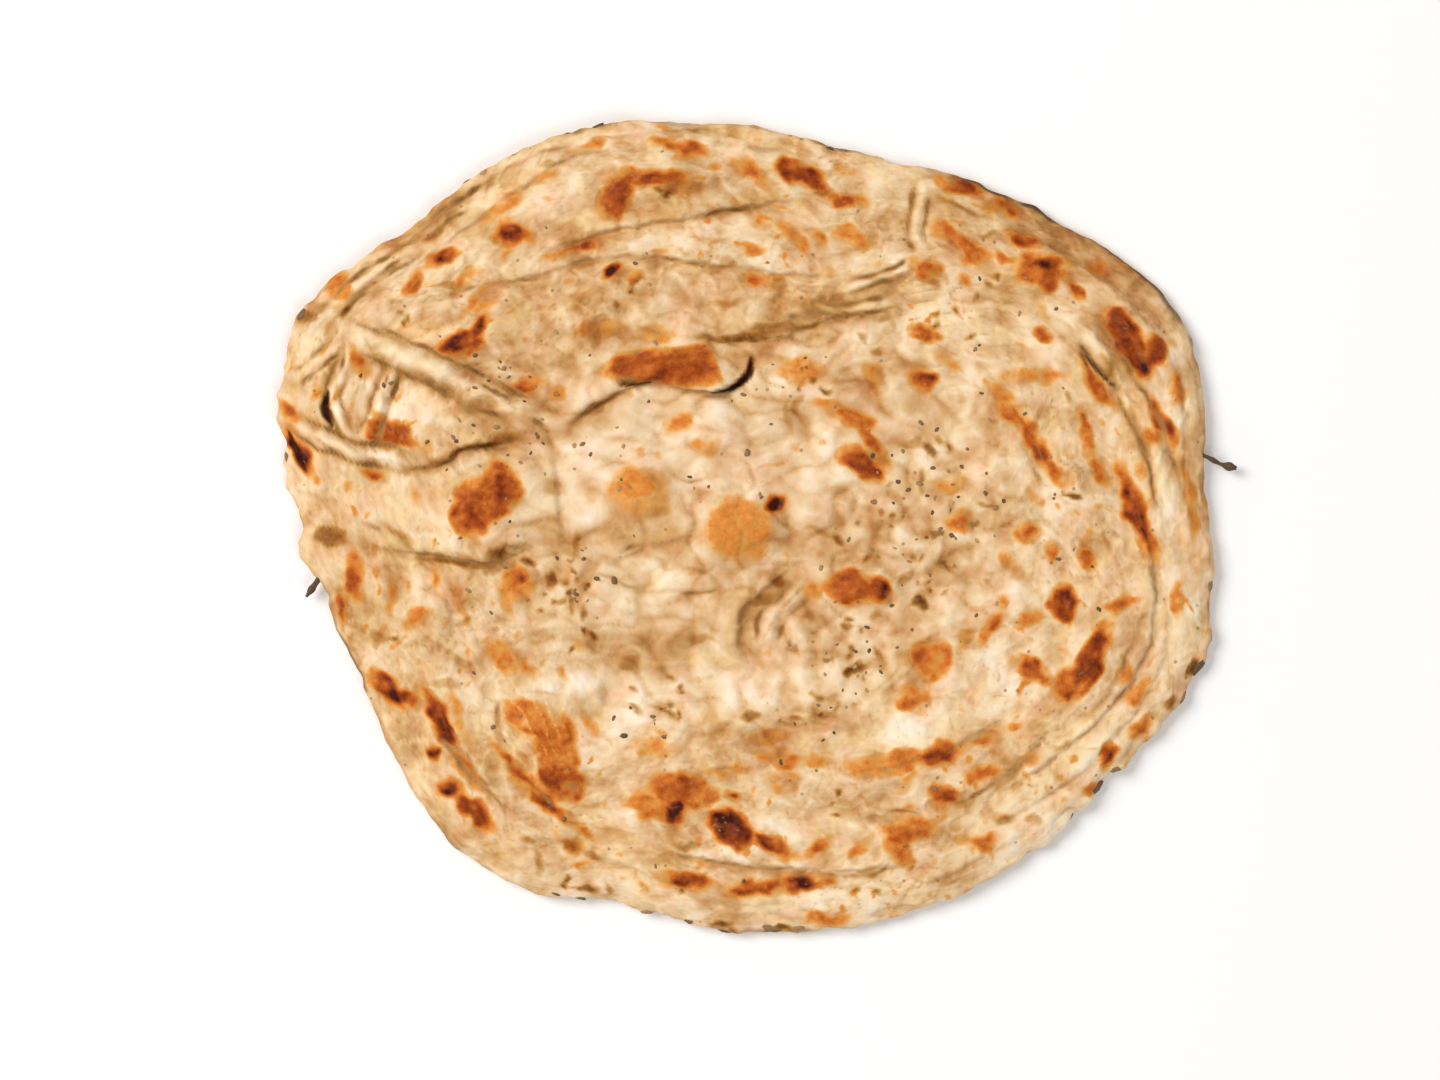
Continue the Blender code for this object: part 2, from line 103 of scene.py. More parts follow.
# A fold that crosses the coil, as points along its edge; the side on its left stands above its right.
Fold = namedtuple("Fold", "points rise reach dark lean")
FOLDS = tuple(Fold(*row) for row in (
    (((-73, 78), (-43, 89), (-16, 94), (8, 98), (21, 99)), 1.3, 12, 0.35, 0.6),
    (((-94, 68), (-68, 75), (-40, 82), (-13, 80), (26, 76), (41, 80)), 1.1, 13, 0.25, 0.4),
    (((-13, 56), (8, 57), (28, 64), (49, 64)), 1.6, 10, 0.32, 0.6),
    (((-20, 59), (2, 60), (17, 64), (40, 68)), 0.9, 6, 0.3, 0.4),
    (((-56, 28), (-44, 39), (-28, 45), (-6, 42), (3, 50)), 3.0, 17, 0.34, 1.6),
    (((-104, 18), (-89, 21), (-84, 25), (-58, 27)), 2.6, 15, 0.45, 1.4),
    (((-117, -5), (-91, -7), (-76, -9), (-54, -1)), 1.7, 14, 0.4, 0.9),
    (((-118, 0), (-110, -5), (-103, -3)), 0.8, 6, 0.4, 0.3),
    (((-55, -5), (-56, 9), (-58, 28)), 0.9, 10, 0.25, 0.3),
    (((-43, -13), (-29, -5), (-10, -1)), 1.0, 8, 0.25, 0.4),
    (((-50, -14), (-26, -18), (-4, -18)), 1.0, 9, 0.2, 0.4),
    (((-1, -41), (0, -24), (19, -8)), 1.3, 9, 0.35, 0.5),
    (((-71, -50), (-62, -48), (-53, -50)), 0.9, 6, 0.35, 0.4),
    (((-100, -30), (-84, -38), (-78, -46)), 0.7, 6, 0.3, 0.3),
    (((-37, -42), (-12, -41), (17, -43)), 0.6, 7, 0.15, 0.2),
    (((70, 74), (84, 72), (98, 70)), 0.5, 5, 0.25, 0.3),
    (((60, 92), (68, 88), (76, 84)), 0.5, 5, 0.2, 0.2),
    (((-96, -8), (-80, -13), (-66, -8)), 0.7, 6, 0.3, 0.3),
    (((10, -60), (-8, -58), (-30, -62)), -0.6, 7, 0.15, 0.2),
))

# A rope of dough, or a raised pleat: points along it, its width and its height.
Rope = namedtuple("Rope", "points width height")
ROPES = tuple(Rope(*row) for row in (
    (((-119, 61), (-100, 51), (-76, 40), (-57, 29)), 8.5, 1.9),
    (((-138, 35), (-122, 25), (-94, 19)), 5.5, 2.0),
    (((-104, 53), (-109, 36), (-114, 24)), 5.0, 1.5),
    (((-117, 54), (-123, 39), (-116, 25)), 4.5, 1.3),
    (((21, -15), (9, -27), (6, -36)), 6.0, 1.2),
    (((55, 106), (52, 91), (54, 82)), 4.5, 1.0),
    (((26, 71), (44, 76), (52, 80)), 3.5, 1.0),
    (((17, 67), (32, 66), (50, 70)), 3.0, 0.8),
    (((95, 69), (112, 47), (124, 24), (129, -3)), 7.0, 0.9),
    (((-126, 64), (-112, 76), (-92, 88)), 4.5, 0.8),
    (((-120, 57), (-128, 50), (-136, 44)), 4.0, 0.8),
))

# A blister lifted by steam: its middle, half length, half width, turn in degrees and height.
Blister = namedtuple("Blister", "x y length width turn height")
BLISTERS = tuple(Blister(*row) for row in (
    (-76, 12, 16, 13, 50, 2.8), (-33, 14, 11, 10, 0, 2.6), (0, 1, 14, 13, 0, 2.8),
    (-13, 27, 10, 8, 20, 1.5), (-43, 27, 12, 8, 35, 1.4), (-1, 31, 14, 9, 0, 1.1),
    (-52, -48, 12, 8, 0, 1.9), (-43, -24, 14, 8, 0, 1.3), (34, -18, 11, 8, 0, 1.5),
    (56, -47, 17, 10, 40, 1.2), (-61, -63, 15, 10, -40, 2.0), (-19, -78, 14, 9, 10, 1.8),
    (0, -91, 10, 7, -30, 1.2), (50, -69, 24, 7, 14, 1.6), (49, -92, 11, 8, 25, 1.4),
    (104, -38, 16, 7, 62, 1.8), (-59, 100, 15, 8, 30, 1.6), (-28, 105, 15, 8, 0, 1.5),
    (17, 48, 12, 9, 0, 1.2), (35, 27, 12, 8, -40, 1.4), (65, 84, 15, 7, -38, 1.4),
    (88, 80, 11, 7, -15, 1.5), (119, 57, 14, 7, -55, 1.4), (-103, 30, 10, 7, -20, 1.2),
    (-84, 55, 10, 7, 10, 1.2), (-94, -26, 14, 8, 25, 1.3),
))
SHREDS = (
    (((133, 24.5), (140, 21.5), (144, 19.5), (148.5, 18.3)), 0.86),
    (((-124, -10), (-128, -15.5), (-131.4, -20.4)), 0.70),
)
SHRED_RADIUS = 0.8
SHRED_HEIGHT = 4.5

# ---------------------------------------------------------------- browning
# A spot or a stretch on the upper face: its middle, length, width, turn in degrees and how strong it is.
Spot = namedtuple("Spot", "x y length width turn tone")
SPOT_TONE = 0.98
# How deep inside a spot a place counts as lying before any spot is laid.
FAR_OUTSIDE = -20.0
# Browned spots, with their full length and width. A tone of 1 is nearly black.
BROWNED = tuple(Spot(*row) for row in (
    # far side
    (-38, 100, 16, 8, 55, 0.72), (-27, 105, 24, 6, -8, 0.74), (-69, 89, 11, 8, 0, 0.84),
    (-90, 82, 9, 5, 25, 0.8), (-99, 74, 7, 4, 45, 0.56), (-52, 84, 14, 3, 15, 0.82),
    (-17, 114, 11, 4, -15, 0.7), (-121, 73, 8, 6, 10, 0.52), (-39, 77, 5, 4, 20, 1.05),
    (-72, 97, 18, 5, 50, 0.34), (3, 107, 12, 5, -40, 0.48), (18, 106, 14, 6, -28, 0.8),
    (31, 99, 11, 4, -5, 0.82), (15, 88, 11, 4, -50, 0.54), (32, 88, 12, 5, -25, 0.54),
    (3, 76, 5, 4, 0, 0.48), (-33, 76, 4, 3, 0, 0.5),
    # left folds
    (-85, 55, 12, 8, 10, 0.96), (-78, 62, 9, 4, 55, 0.94), (-78, 67, 8, 4, 30, 0.42),
    (-43, 60, 13, 5, 5, 0.48), (-28, 58, 11, 4, 0, 0.42), (-65, 43, 11, 5, 5, 0.62),
    (-56, 41, 5, 5, 0, 0.62), (-107, 29, 12, 9, -20, 0.64), (-104, 30, 13, 3, -35, 0.82),
    (-133, 23, 15, 5, -62, 1.0), (-136, 35, 7, 3, -40, 0.78), (-115, 50, 7, 3, -55, 0.7),
    (-111, 16, 7, 4, -20, 0.82), (-116.5, -15, 12, 5, -82, 0.8), (-120.5, -23, 8, 4, -85, 0.82),
    # middle
    (-79, 7, 19, 14, 50, 0.68), (-74, 12, 17, 13, 60, 0.7), (-27, 5, 9, 4, 20, 0.38),
    (10, 7, 5, 4, 0, 1.15), (-12, 25, 10, 6, 10, 0.34), (-19, 31, 8, 4, 30, 0.42),
    (-68, -16, 10, 10, 0, 0.5), (-97, -26, 10, 5, 30, 0.46), (-72, -38, 11, 6, -45, 0.5),
    (17, 48, 14, 9, 0, 0.34), (-48, -34, 6, 5, 0, 0.36),
    # right of the middle
    (32, 34, 18, 5, -25, 0.6), (39, 26, 14, 4, -55, 0.74), (36, 19, 14, 8, -42, 0.75),
    (40, 45, 10, 5, -60, 0.34), (54, 45, 8, 6, -30, 0.76), (55, 59, 8, 6, -10, 0.58),
    (54, 78, 8, 6, -30, 0.64), (33, -18, 17, 10, -8, 0.7), (40, -18, 7, 8, 0, 0.78),
    (20, -19, 7, 5, 0, 0.38), (65, 2, 7, 6, 0, 0.58), (62, 14, 8, 5, 0, 0.34), (86, -1, 7, 5, 0, 0.62),
    (80, -10, 9, 5, -50, 0.36), (75, -28, 13, 4, 60, 0.72), (85, -27, 7, 4, 15, 0.56),
    (96, -22, 10, 8, 75, 0.86), (103, -9, 5, 5, 0, 0.5), (57, -39, 12, 12, 0, 0.5),
    (51, -51, 9, 8, 0, 0.52), (86, -42, 12, 6, -25, 0.68),
    # near left
    (-107, -48, 12, 6, -55, 0.94), (-100, -51, 9, 4, -30, 0.76), (-91, -57, 21, 6.5, -60, 0.87),
    (-93, -66, 4, 4, 0, 0.86), (-88, -78, 7, 5, -20, 0.92), (-81, -84, 15, 5, -50, 0.84),
    (-63, -57, 19, 10, -25, 0.54), (-57, -63, 13, 12, 0, 0.58), (-55, -69, 13, 11, -60, 0.54),
    (-53, -76, 14, 10, 0, 0.66), (-56, -76, 9, 5, -40, 0.84), (-64, -76, 24, 3, -45, 0.8),
    (-58, -83, 20, 3, -38, 0.78), (-84, -57, 13, 2.5, -68, 0.46), (-84.5, -70.5, 14, 3, -50, 0.78),
    # near side
    (-18, -79, 20, 12, -8, 0.58), (-20, -85, 7, 5, 0, 1.12), (-27, -83, 16, 8, -10, 0.56),
    (-3, -90, 14, 10, -30, 0.92), (9, -95, 11, 5, -25, 0.92), (-3, -81, 4, 3, 0, 0.92),
    (-17, -105, 14, 4, -8, 0.84), (1, -108, 14, 5, 0, 0.76), (17, -106, 16, 5, 3, 0.88),
    (-26, -65, 13, 5, -5, 0.36), (-52, -94, 9, 3, -35, 0.54), (14, -69, 18, 4, -5, 0.52),
    (12, -76, 11, 8, 0, 0.3), (45, -70, 30, 8, 8, 0.42), (58, -68, 14, 6, 12, 0.7),
    (72, -63, 18, 3, 22, 0.6), (61, -81, 10, 6, -15, 0.84), (71, -73, 10, 4, 10, 0.58),
    (50, -90, 17, 7, 5, 0.55), (47, -95, 9, 10, 0, 0.54), (72, -94, 12, 6, -5, 0.5),
    (24, -117, 10, 4, -5, 0.6),
    # right side and rim
    (66, 85, 22, 6, -38, 0.6), (66, 103, 11, 4, -15, 0.8), (78, 96, 8, 3, -10, 0.8),
    (83, 87, 10, 4, -30, 0.84), (88, 77, 15, 10, -15, 0.6), (91, 80, 7, 5, 0, 0.84),
    (99, 73, 7, 3, -50, 0.8), (107, 78, 5, 3, -40, 0.66), (112, 61, 13, 9, -50, 0.8),
    (116, 54, 20, 10, -62, 0.84), (123, 53, 8, 7, -40, 0.78), (126, 32, 13, 4, -65, 0.86),
    (129, 44, 10, 3, -75, 0.7), (122, 27, 6, 4, 0, 0.58), (80, 36, 17, 6, -50, 0.47),
    (87, 26, 17, 6, -60, 0.7), (93, 18, 11, 4, -40, 0.6), (87, 46, 18, 4, 0, 0.42),
    (106, 43, 15, 5, -55, 0.66), (103, 28, 17, 4, -70, 0.5), (107, 18, 9, 4, -70, 0.62),
    (118, 5, 25, 6, -70, 0.9), (90, 58, 5, 3, -20, 0.7), (134, 9, 15, 2, -80, 0.6),
    (104, -40, 24, 8, 62, 0.81), (98, -46, 13, 8, 45, 0.7), (113, -22, 9, 3, 20, 0.54),
    (131, -19, 11, 3, 85, 0.5), (109, -68, 7, 4, 80, 1.0), (105, -78, 6, 4, 10, 0.6),
    (120, -60, 8, 5, 40, 0.64), (118, -49, 9, 4, 55, 0.48),
))
# The pleated fan of the near left blister: its hub, how far out its ribs lie, its middle angle and width
# in degrees, and how many ribs a full turn would have.
FAN_HUB = (-50, -80)
FAN_REACH = 24
FAN_MIDDLE = 122
FAN_WIDTH = 30
FAN_RIBS = 44
# Even stains on the crowns of two blisters.
STAINS = tuple(Spot(*row) for row in (
    (-1, 0, 23, 21, 0, 0.41), (-31, 11, 21, 18, 0, 0.3), (-32, 13, 13, 11, 0, 0.42),
))
# Small streaks of browning along the coil: how many, between which fractions of the way out.
STRAY_STREAKS = 64
STRAY_FROM = 0.52
STRAY_TO = 0.96
STREAK_SEED = 55
# The scorched lower face of the big flap: its corners, its tone and the way its streaks run.
FLAP_SCORCH = ((-43, 47), (-38, 52), (-10.5, 55.5), (-8.5, 50), (-6.5, 45), (-20, 44.5), (-37, 44.5))
FLAP_SCORCH_TONE = 0.72
FLAP_TURN = 10.0
# Thin creases, olive-brown with painted shade in them and a wider painted shade around them: points along
# each, half width and strength.
CREASES = (
    (((-21, 92.5), (-12, 93.5), (-8, 95.5), (0, 96), (8, 97)), 0.8, 0.8),
    (((-72, 73.5), (-66, 74.5), (-60, 75.5)), 0.7, 0.7),
    (((-38, 45.5), (-36, 45.2), (-28, 45.3)), 0.9, 0.75), (((-52, 31.5), (-44, 37), (-38, 44)), 1.3, 0.55),
    (((-68, 35), (-62, 32), (-58, 28), (-57, 22)), 1.0, 0.75),
    (((-97, 21), (-89, 20.5), (-86, 24), (-80, 26), (-70, 26.5), (-62, 28)), 1.3, 0.75),
    (((-122, 66), (-112, 60), (-102, 56)), 0.8, 0.6), (((-80, 44.5), (-74, 41), (-68, 38)), 0.8, 0.8),
    (((-98, 47), (-92, 43.5), (-87, 41)), 0.9, 0.6),
    (((-120, 62), (-120, 52), (-121, 47), (-124, 42)), 0.8, 0.65),
    (((-104, 53), (-107, 44), (-109, 38)), 0.7, 0.55), (((-115, 60), (-112, 55), (-109, 52)), 0.8, 0.5),
    (((-131, 30), (-124, 24), (-118, 20)), 0.9, 0.6), (((-105, 16), (-99, 18), (-94, 18)), 0.7, 0.45),
    (((-96, -9), (-86, -9.5), (-78, -11)), 1.2, 0.7),
    (((-78, -8.5), (-73, -7.5), (-71, -5.5), (-60, -3)), 1.0, 0.7),
    (((-38, -8), (-34, -5), (-28, -4)), 0.8, 0.7),
    (((-50, -14), (-40, -14), (-34, -17), (-28, -17.5)), 0.7, 0.5),
    (((-16, -13), (-10, -12), (-8, -9)), 0.8, 0.55), (((-20, -20), (-12, -19), (-6, -18)), 0.7, 0.5),
    (((2, -35), (1, -27), (6, -21), (14, -16)), 1.5, 0.5),
    (((5, -34), (9, -28), (15, -20), (20, -16)), 0.7, 0.5),
    (((47, -34), (46, -42), (40, -48), (34, -49)), 0.7, 0.45),
    (((120, -14), (121, -24), (117, -33), (113, -42), (108, -51), (100, -59)), 0.9, 0.6),
    (((121, -8), (122, -17)), 1.1, 0.6), (((125, -14), (127, -25), (126, -34)), 0.7, 0.35),
    (((74, -80), (80, -74), (86, -68), (92, -62)), 0.8, 0.5),
    (((58, -84), (65, -82), (72, -78), (79, -73)), 0.9, 0.65),
    (((60, -67), (70, -61), (80, -57)), 1.0, 0.5),
    (((-25, -95), (-20, -98), (-10, -99.5), (0, -100)), 0.9, 0.4),
    (((0, -101.5), (14, -103), (30, -104), (40, -103.5), (46, -101)), 0.9, 0.45),
    (((-92, -62), (-88, -66), (-84, -72), (-80, -76)), 1.2, 0.7),
    (((-82, -74), (-76, -79), (-70, -85)), 0.9, 0.6), (((-72, -48), (-74, -56), (-71, -66)), 0.9, 0.5),
    (((80, 30), (85, 22), (91, 12)), 0.7, 0.45), (((93, 27), (99, 20), (104, 13), (106, 5)), 0.8, 0.5),
    (((107, 6), (110, 0), (114, -4)), 1.0, 0.55), (((104, 53), (112, 44), (119, 36), (122, 28)), 0.7, 0.45),
    (((-100, 90), (-90, 97), (-80, 103), (-76, 105.5)), 1.1, 0.85),
    (((-97, 87), (-88, 92.5), (-82, 96)), 0.9, 0.75),
    (((-118, 68), (-112, 74), (-104, 80), (-96, 83)), 0.8, 0.75),
    (((-122, 61), (-117, 68), (-111, 72)), 1.0, 0.75), (((-115, 3), (-110, 0), (-105, -5)), 0.8, 0.6),
    (((-108, 1), (-103, -3), (-98, -6)), 0.7, 0.5),
    (((-70, 99), (-62, 105), (-55, 110), (-46, 113), (-38, 113.5)), 0.9, 0.55),
    (((-56, 118), (-46, 120.5), (-38, 121)), 1.0, 0.6), (((-30, 119), (-18, 120), (-4, 119)), 0.8, 0.55),
    (((24, 116.5), (28, 115), (32, 113.5)), 0.7, 0.8),
    (((5, 115.5), (14, 115.5), (20, 114), (23, 111.5)), 0.7, 0.4),
    (((56, 99.5), (64, 97), (72, 93)), 1.0, 0.5), (((6, 63), (16, 64), (25, 62.5)), 1.4, 0.5),
    (((-9, 57), (0, 57.5), (12, 58.5)), 1.3, 0.6),
    (((17, 67), (26, 66), (34, 64.5), (42, 63), (49, 66)), 0.9, 0.6),
    (((37, 73), (43, 74.5), (48, 72)), 1.2, 0.6), (((33, 83), (28, 82), (22, 82.5)), 0.9, 0.4),
    (((30, 70), (35, 71), (38, 69.5)), 0.9, 0.45), (((-49, 67), (-43, 72), (-40, 75)), 0.7, 0.45),
    (((-33, 83), (-26, 82), (-20, 81), (-12, 79), (-4, 78)), 0.7, 0.5),
    (((-98, 67), (-88, 70), (-80, 73), (-72, 74)), 0.8, 0.5),
    (((-124, -30), (-122, -37), (-117, -44), (-113, -52)), 0.8, 0.55),
    (((-98, -84), (-88, -92), (-80, -98), (-70, -103)), 0.8, 0.4),
    (((66, 69.5), (74, 70), (82, 68), (86, 67)), 0.7, 0.4),
    (((-60, -41), (-55, -42), (-52, -40)), 0.9, 0.4), (((-68, -10), (-66, -18), (-68, -26)), 0.6, 0.3),
    (((-20, 40), (-27, 32), (-24, 22)), 0.7, 0.3),
    (((-24, 21), (-20, 16), (-14, 14.5), (-4, 17)), 0.7, 0.5), (((-22, 7), (-27, 4), (-32, 4)), 1.2, 0.45),
    (((4, 27), (1, 24), (-4, 25)), 0.6, 0.3), (((10, 24), (4, 22), (0, 18)), 0.6, 0.3),
)
# Deep slits between layers, painted almost black as shade: points along each and its half width.
SLITS = (
    (((-9, 42), (-3, 43.5), (1.5, 46.5), (2.5, 51)), 1.4), (((-38, 44.5), (-28, 45)), 0.5),
    (((-124.5, 41), (-125.5, 36), (-123.5, 31)), 1.3), (((101, 55), (106, 48), (112, 42)), 0.45),
    (((-136.5, 29), (-134, 22), (-131, 17)), 0.8),
)
# The side of the bread whose rim wall is painted darkest, as painted shade, in degrees; on the far side the
# wall is painted palest, as painted light.
SHADED_RIM_SIDE = 60
# Lines of painted shade on the outer wall of the rim: the angle in the middle, how far round and how
# strong.
RIM_WALL_SHADE_LINES = (
    (42, 20, 1.0), (76, 4, 0.7), (100, 14, 0.35), (-12, 4, 0.6), (199, 6, 0.7), (225, 16, 0.3),
    (-86, 8, 0.4),
)
# Small dark olive-brown marks, and painted shadows under folds, with their full length and width.
MARKS_AND_FOLD_SHADOWS = tuple(Spot(*row) for row in (
    # along the left edge, and painted shadows under the left folds
    (-124, -2, 10, 6, 0, 0.72), (-131, 64, 7, 4, -10, 0.7), (-126, 67, 6, 3, 35, 0.5),
    (-119, 66, 6, 2, 60, 0.6), (-106, 68, 3, 2, 0, 0.5), (-93, 88, 6, 2, 30, 0.7),
    (-88, 73, 5, 2.5, -10, 0.5), (-59, 109, 4, 3, 0, 0.5), (-90, 22, 15, 2.4, 20, 0.6),
    (-76, 27, 18, 3, 8, 0.6), (-103, -2, 12, 2, -28, 0.5), (-89, -10, 22, 2, -7, 0.45),
    (-74, -7, 7, 2, 20, 0.9), (-104, -34, 3, 2, -30, 0.8), (-110, -33, 8, 3, -10, 0.4),
    (-89, -46, 8, 2.5, -15, 0.4), (-83, -28, 5, 1.6, 40, 0.5), (-64, -10, 4, 2, -20, 0.9),
    (-50, -4, 2.4, 6, 0, 0.5),
    # painted shadows under the far folds
    (-2, 58, 24, 3, 4, 0.66), (12, 61, 20, 3, 6, 0.6), (-5, 68, 12, 1.6, 3, 0.5), (-50, 68, 9, 2, 40, 0.3),
    (-14, 76, 8, 2, 40, 0.3), (11, 73, 5, 3.5, -40, 0.45), (24, 101, 6, 1.6, 20, 0.6),
    (73, 88, 5, 2, -10, 0.5), (66, 97, 16, 1.8, -25, 0.5), (72, 69, 14, 1.2, 0, 0.4),
    # middle, and right of it
    (35, 58, 5, 1.8, -55, 0.6), (40, 53, 5, 3, 10, 0.5), (51, 26, 7, 4, 10, 0.45), (56, 24, 5, 2, -30, 0.9),
    (53, 14, 2.5, 7, 0, 0.6), (17, 37, 2.5, 6, 0, 0.4), (14, 33, 2, 6, 10, 0.3), (72, 7, 4, 2, -10, 0.6),
    (99, 10, 5.5, 2.5, -25, 1.0), (110, 49, 6, 1.3, -52, 0.8), (103, 49, 7, 1.6, -58, 0.9),
    (97, 19, 12, 1, -55, 0.5), (85, 30, 14, 1, -60, 0.4), (88, 16, 5, 1.4, -55, 0.5),
    (10, -15, 4, 4, 0, 0.5), (6, -21, 9, 3.5, 15, 0.45), (28, -3, 5, 2.4, -50, 0.85),
    (23, -1, 7, 2.4, -10, 0.4), (31, -29, 4, 2, -50, 0.85), (34, -42, 7, 3, 15, 0.9),
    (53, -23, 5, 2.5, -5, 1.0), (49, -15, 5, 2.5, 35, 0.6), (40, -26, 5, 1.8, 25, 0.5),
    (-34, -40, 6, 4, 30, 0.4), (-13, -33, 10, 2, -5, 0.4), (-33, -54, 6, 2, -20, 0.7),
    (-24, -54, 6, 1.5, -15, 0.8), (2, -56, 5, 2.4, 0, 0.7), (24, -56, 10, 3, 5, 0.35),
    (14, -59, 8, 1.8, 0, 0.35),
    # near side and rim
    (135, -41, 5, 2.6, 50, 1.0), (129, -52, 5, 2.4, 55, 0.8), (112, -75, 2.4, 5, -20, 0.9),
    (96, -65, 5, 3, 30, 0.45), (87, -87, 4.4, 3.6, 0, 0.55), (79, -87, 6, 2.6, 35, 0.6),
    (48, -84, 7, 1.5, -20, 0.6), (41, -103, 8, 1.8, 20, 0.5), (10, -121, 8, 2.2, 5, 1.0),
    (-6, -119, 6, 2, -5, 0.9), (-17, -95, 8, 2, -3, 0.6), (-47, -108, 6, 1.8, -10, 0.9),
    (-65, -93, 5, 2.4, -10, 0.6), (-61, -100, 2.4, 7, 0, 0.5), (-52, -95, 6, 3, -25, 0.6),
    (-45, -98, 5, 2, -30, 0.6),
))
# Specks of the same colour, 1 to 2 mm, in clusters: middle, spread and how many.
SPECK_CLUSTERS = (
    (-55, -17, 4, 16), (-57, -29, 4, 3), (-47, -32, 3, 3), (-28, -55, 5, 4), (-22, -46, 3, 3),
    (20, -51, 4, 5), (34, -38, 4, 5), (55, -18, 5, 5), (42, -8, 8, 6), (60, 22, 4, 3), (54, 64, 6, 6),
    (-34, 68, 5, 4), (18, 46, 3, 3), (76, 74, 3, 2), (100, 37, 3, 2), (106, -81, 5, 4), (46, -106, 5, 3),
    (27, -84, 4, 3), (0, -118, 8, 4), (-54, -106, 6, 3), (-103, 66, 3, 3), (-25, 98, 4, 3),
)
SPECK_SEED = 56
# Paler (positive) and darker (negative) stretches of dough, with half their length and width: toasting, and
# in places painted shade under folds.
TOAST_AND_SHADE = tuple(Spot(*row) for row in (
    (-3, 88, 34, 6, 5, 0.32), (-40, 33, 30, 12, 35, 0.35), (-45, 20, 14, 16, 0, 0.15),
    (-5, 26, 22, 18, 0, 0.12), (-56, 101, 12, 6, 35, 0.45), (42, 106, 20, 7, -8, 0.2),
    (-122, 12, 12, 7, 0, 0.3), (-96, 36, 8, 7, -20, 0.35), (-54, -47, 9, 7, 0, 0.45),
    (-4, -47, 30, 7, 0, 0.52), (72, -48, 26, 10, 25, 0.3), (-95, 3, 30, 6, -8, 0.25),
    (-42, -20, 18, 6, 0, 0.3), (80, 62, 22, 8, -20, 0.22), (16, -36, 12, 9, 0, 0.12),
    (96, 8, 10, 26, 15, 0.15), (-108, 60, 14, 5, -20, 0.3), (8, -97, 28, 5, 0, 0.15),
    (-52, 62, 36, 14, 12, -0.3), (-72, 42, 16, 8, -30, -0.2), (8, 68, 30, 5, 0, -0.25),
    (-40, -3, 30, 5, 0, -0.3), (-104, -33, 20, 9, -30, -0.25), (30, -2, 30, 12, 0, -0.25),
    (20, -58, 30, 7, 10, -0.22), (99, 87, 32, 13, -43, -0.36), (-28, -38, 18, 7, 0, -0.35),
    (35, 36, 16, 9, 0, -0.15), (2, -26, 7, 14, -20, -0.45), (-85, -9, 26, 4, -5, -0.22),
    (-58, -24, 12, 10, 0, -0.3), (-104, 40, 20, 14, 0, 0.2), (60, -6, 18, 14, 0, -0.12),
    (-50, -97, 22, 8, -12, -0.22), (112, -62, 26, 9, 55, 0.25), (137, 18, 7, 15, 0, -0.55),
    (22, 88, 18, 7, -5, -0.28), (-8, 38, 14, 4, 5, -0.05), (-35, -55, 16, 7, 0, 0.25),
    (8, 100, 46, 9, -6, -0.18), (-26, 98, 20, 7, 26, -0.3), (96, 90, 30, 8, -42, -0.3),
    (-44, 32, 9, 5, 40, -0.55), (-122, 6, 12, 18, 0, -0.3), (-118, -26, 12, 10, 25, -0.25),
    (-46, 30, 10, 10, 0, -0.3), (-62, 82, 26, 10, 22, -0.28), (30, 72, 34, 8, 0, -0.25),
    (54, 92, 20, 10, -30, -0.25), (-70, -72, 22, 10, -40, -0.2), (-6, -66, 34, 7, 0, -0.15),
    (126, 58, 12, 9, -60, 0.22), (92, -90, 26, 12, 35, 0.55), (131, -10, 9, 42, 0, 0.3),
    (50, -55, 12, 9, 0, 0.55), (32, -112, 26, 7, 5, 0.3), (-50, 113, 22, 6, 22, 0.3),
    (30, 112, 20, 6, -12, 0.3), (-30, -8, 9, 7, 0, 0.3), (6, 14, 16, 5, 0, 0.25), (-14, 8, 8, 12, 0, 0.2),
    (-50, 8, 8, 10, 0, 0.08), (-90, 82, 14, 9, 32, 0.3), (-42, 91, 20, 7, 5, -0.26),
    (-90, 70, 11, 7, 20, 0.28), (-88, 42, 11, 13, 0, -0.26), (-72, 29, 11, 8, 0, -0.24),
    (-38, 49, 18, 7, 0, -0.2), (30, 50, 10, 8, 0, 0.14), (44, 30, 14, 8, 0, -0.14),
    (-44, -6, 12, 7, 0, -0.18), (-50, -31, 9, 7, 0, 0.18), (90, -11, 9, 8, 0, 0.16),
    (30, -31, 11, 7, 0, -0.14),
))
# Where the dough is crumbly and pitted: middle, half length, half width.
CRUMBLY = ((55, -2, 34, 24), (28, -36, 22, 14), (-78, 42, 16, 10), (24, -55, 18, 8), (-64, -18, 10, 8))

# Charred flecks in clusters: middle, spread and how many, and the rest scattered.
FLECK_CLUSTERS = (
    (56, 0, 13, 34), (47, 24, 9, 8), (-77, 48, 4, 9), (-75, 36, 9, 16), (-55, -17, 7, 10), (-56, 24, 6, 8),
    (-31, -55, 6, 7), (41, -33, 5, 6), (35, -41, 3, 6), (23, -51, 8, 12), (-72, -7, 9, 6), (-13, 13, 3, 3),
    (-37, 18, 6, 5), (-33, 78, 6, 3), (78, 60, 18, 6), (-20, 53, 15, 5), (95, 15, 8, 3), (80, 33, 9, 4),
    (-108, 45, 8, 4), (16, 48, 5, 5), (100, -12, 12, 4),
)
SCATTERED_FLECKS = 36
FLECK_SEED = 91
# Scorched crumbs along the rim: the angle and the size of each.
RIM_CRUMBS = (
    (-86, 1.9), (-82, 1.4), (-92.5, 1.4), (-98, 1.2), (-104, 1.1), (-114, 1.3), (-117, 1.0), (-36.5, 1.9),
    (-33, 1.5), (-41, 1.3), (-17, 1.9), (-21, 1.3), (-7, 1.2), (126, 1.1), (128.5, 0.9), (121, 1.1),
    (114, 1.2), (110, 1.2), (77, 1.0), (150, 1.0), (154, 1.2), (158, 1.0), (171, 1.3),
)
CRUMB_SEED = 92
# Where the rays start that find the skin, above it and outside its rim.
ABOVE = 60.0
OUTSIDE = 200.0

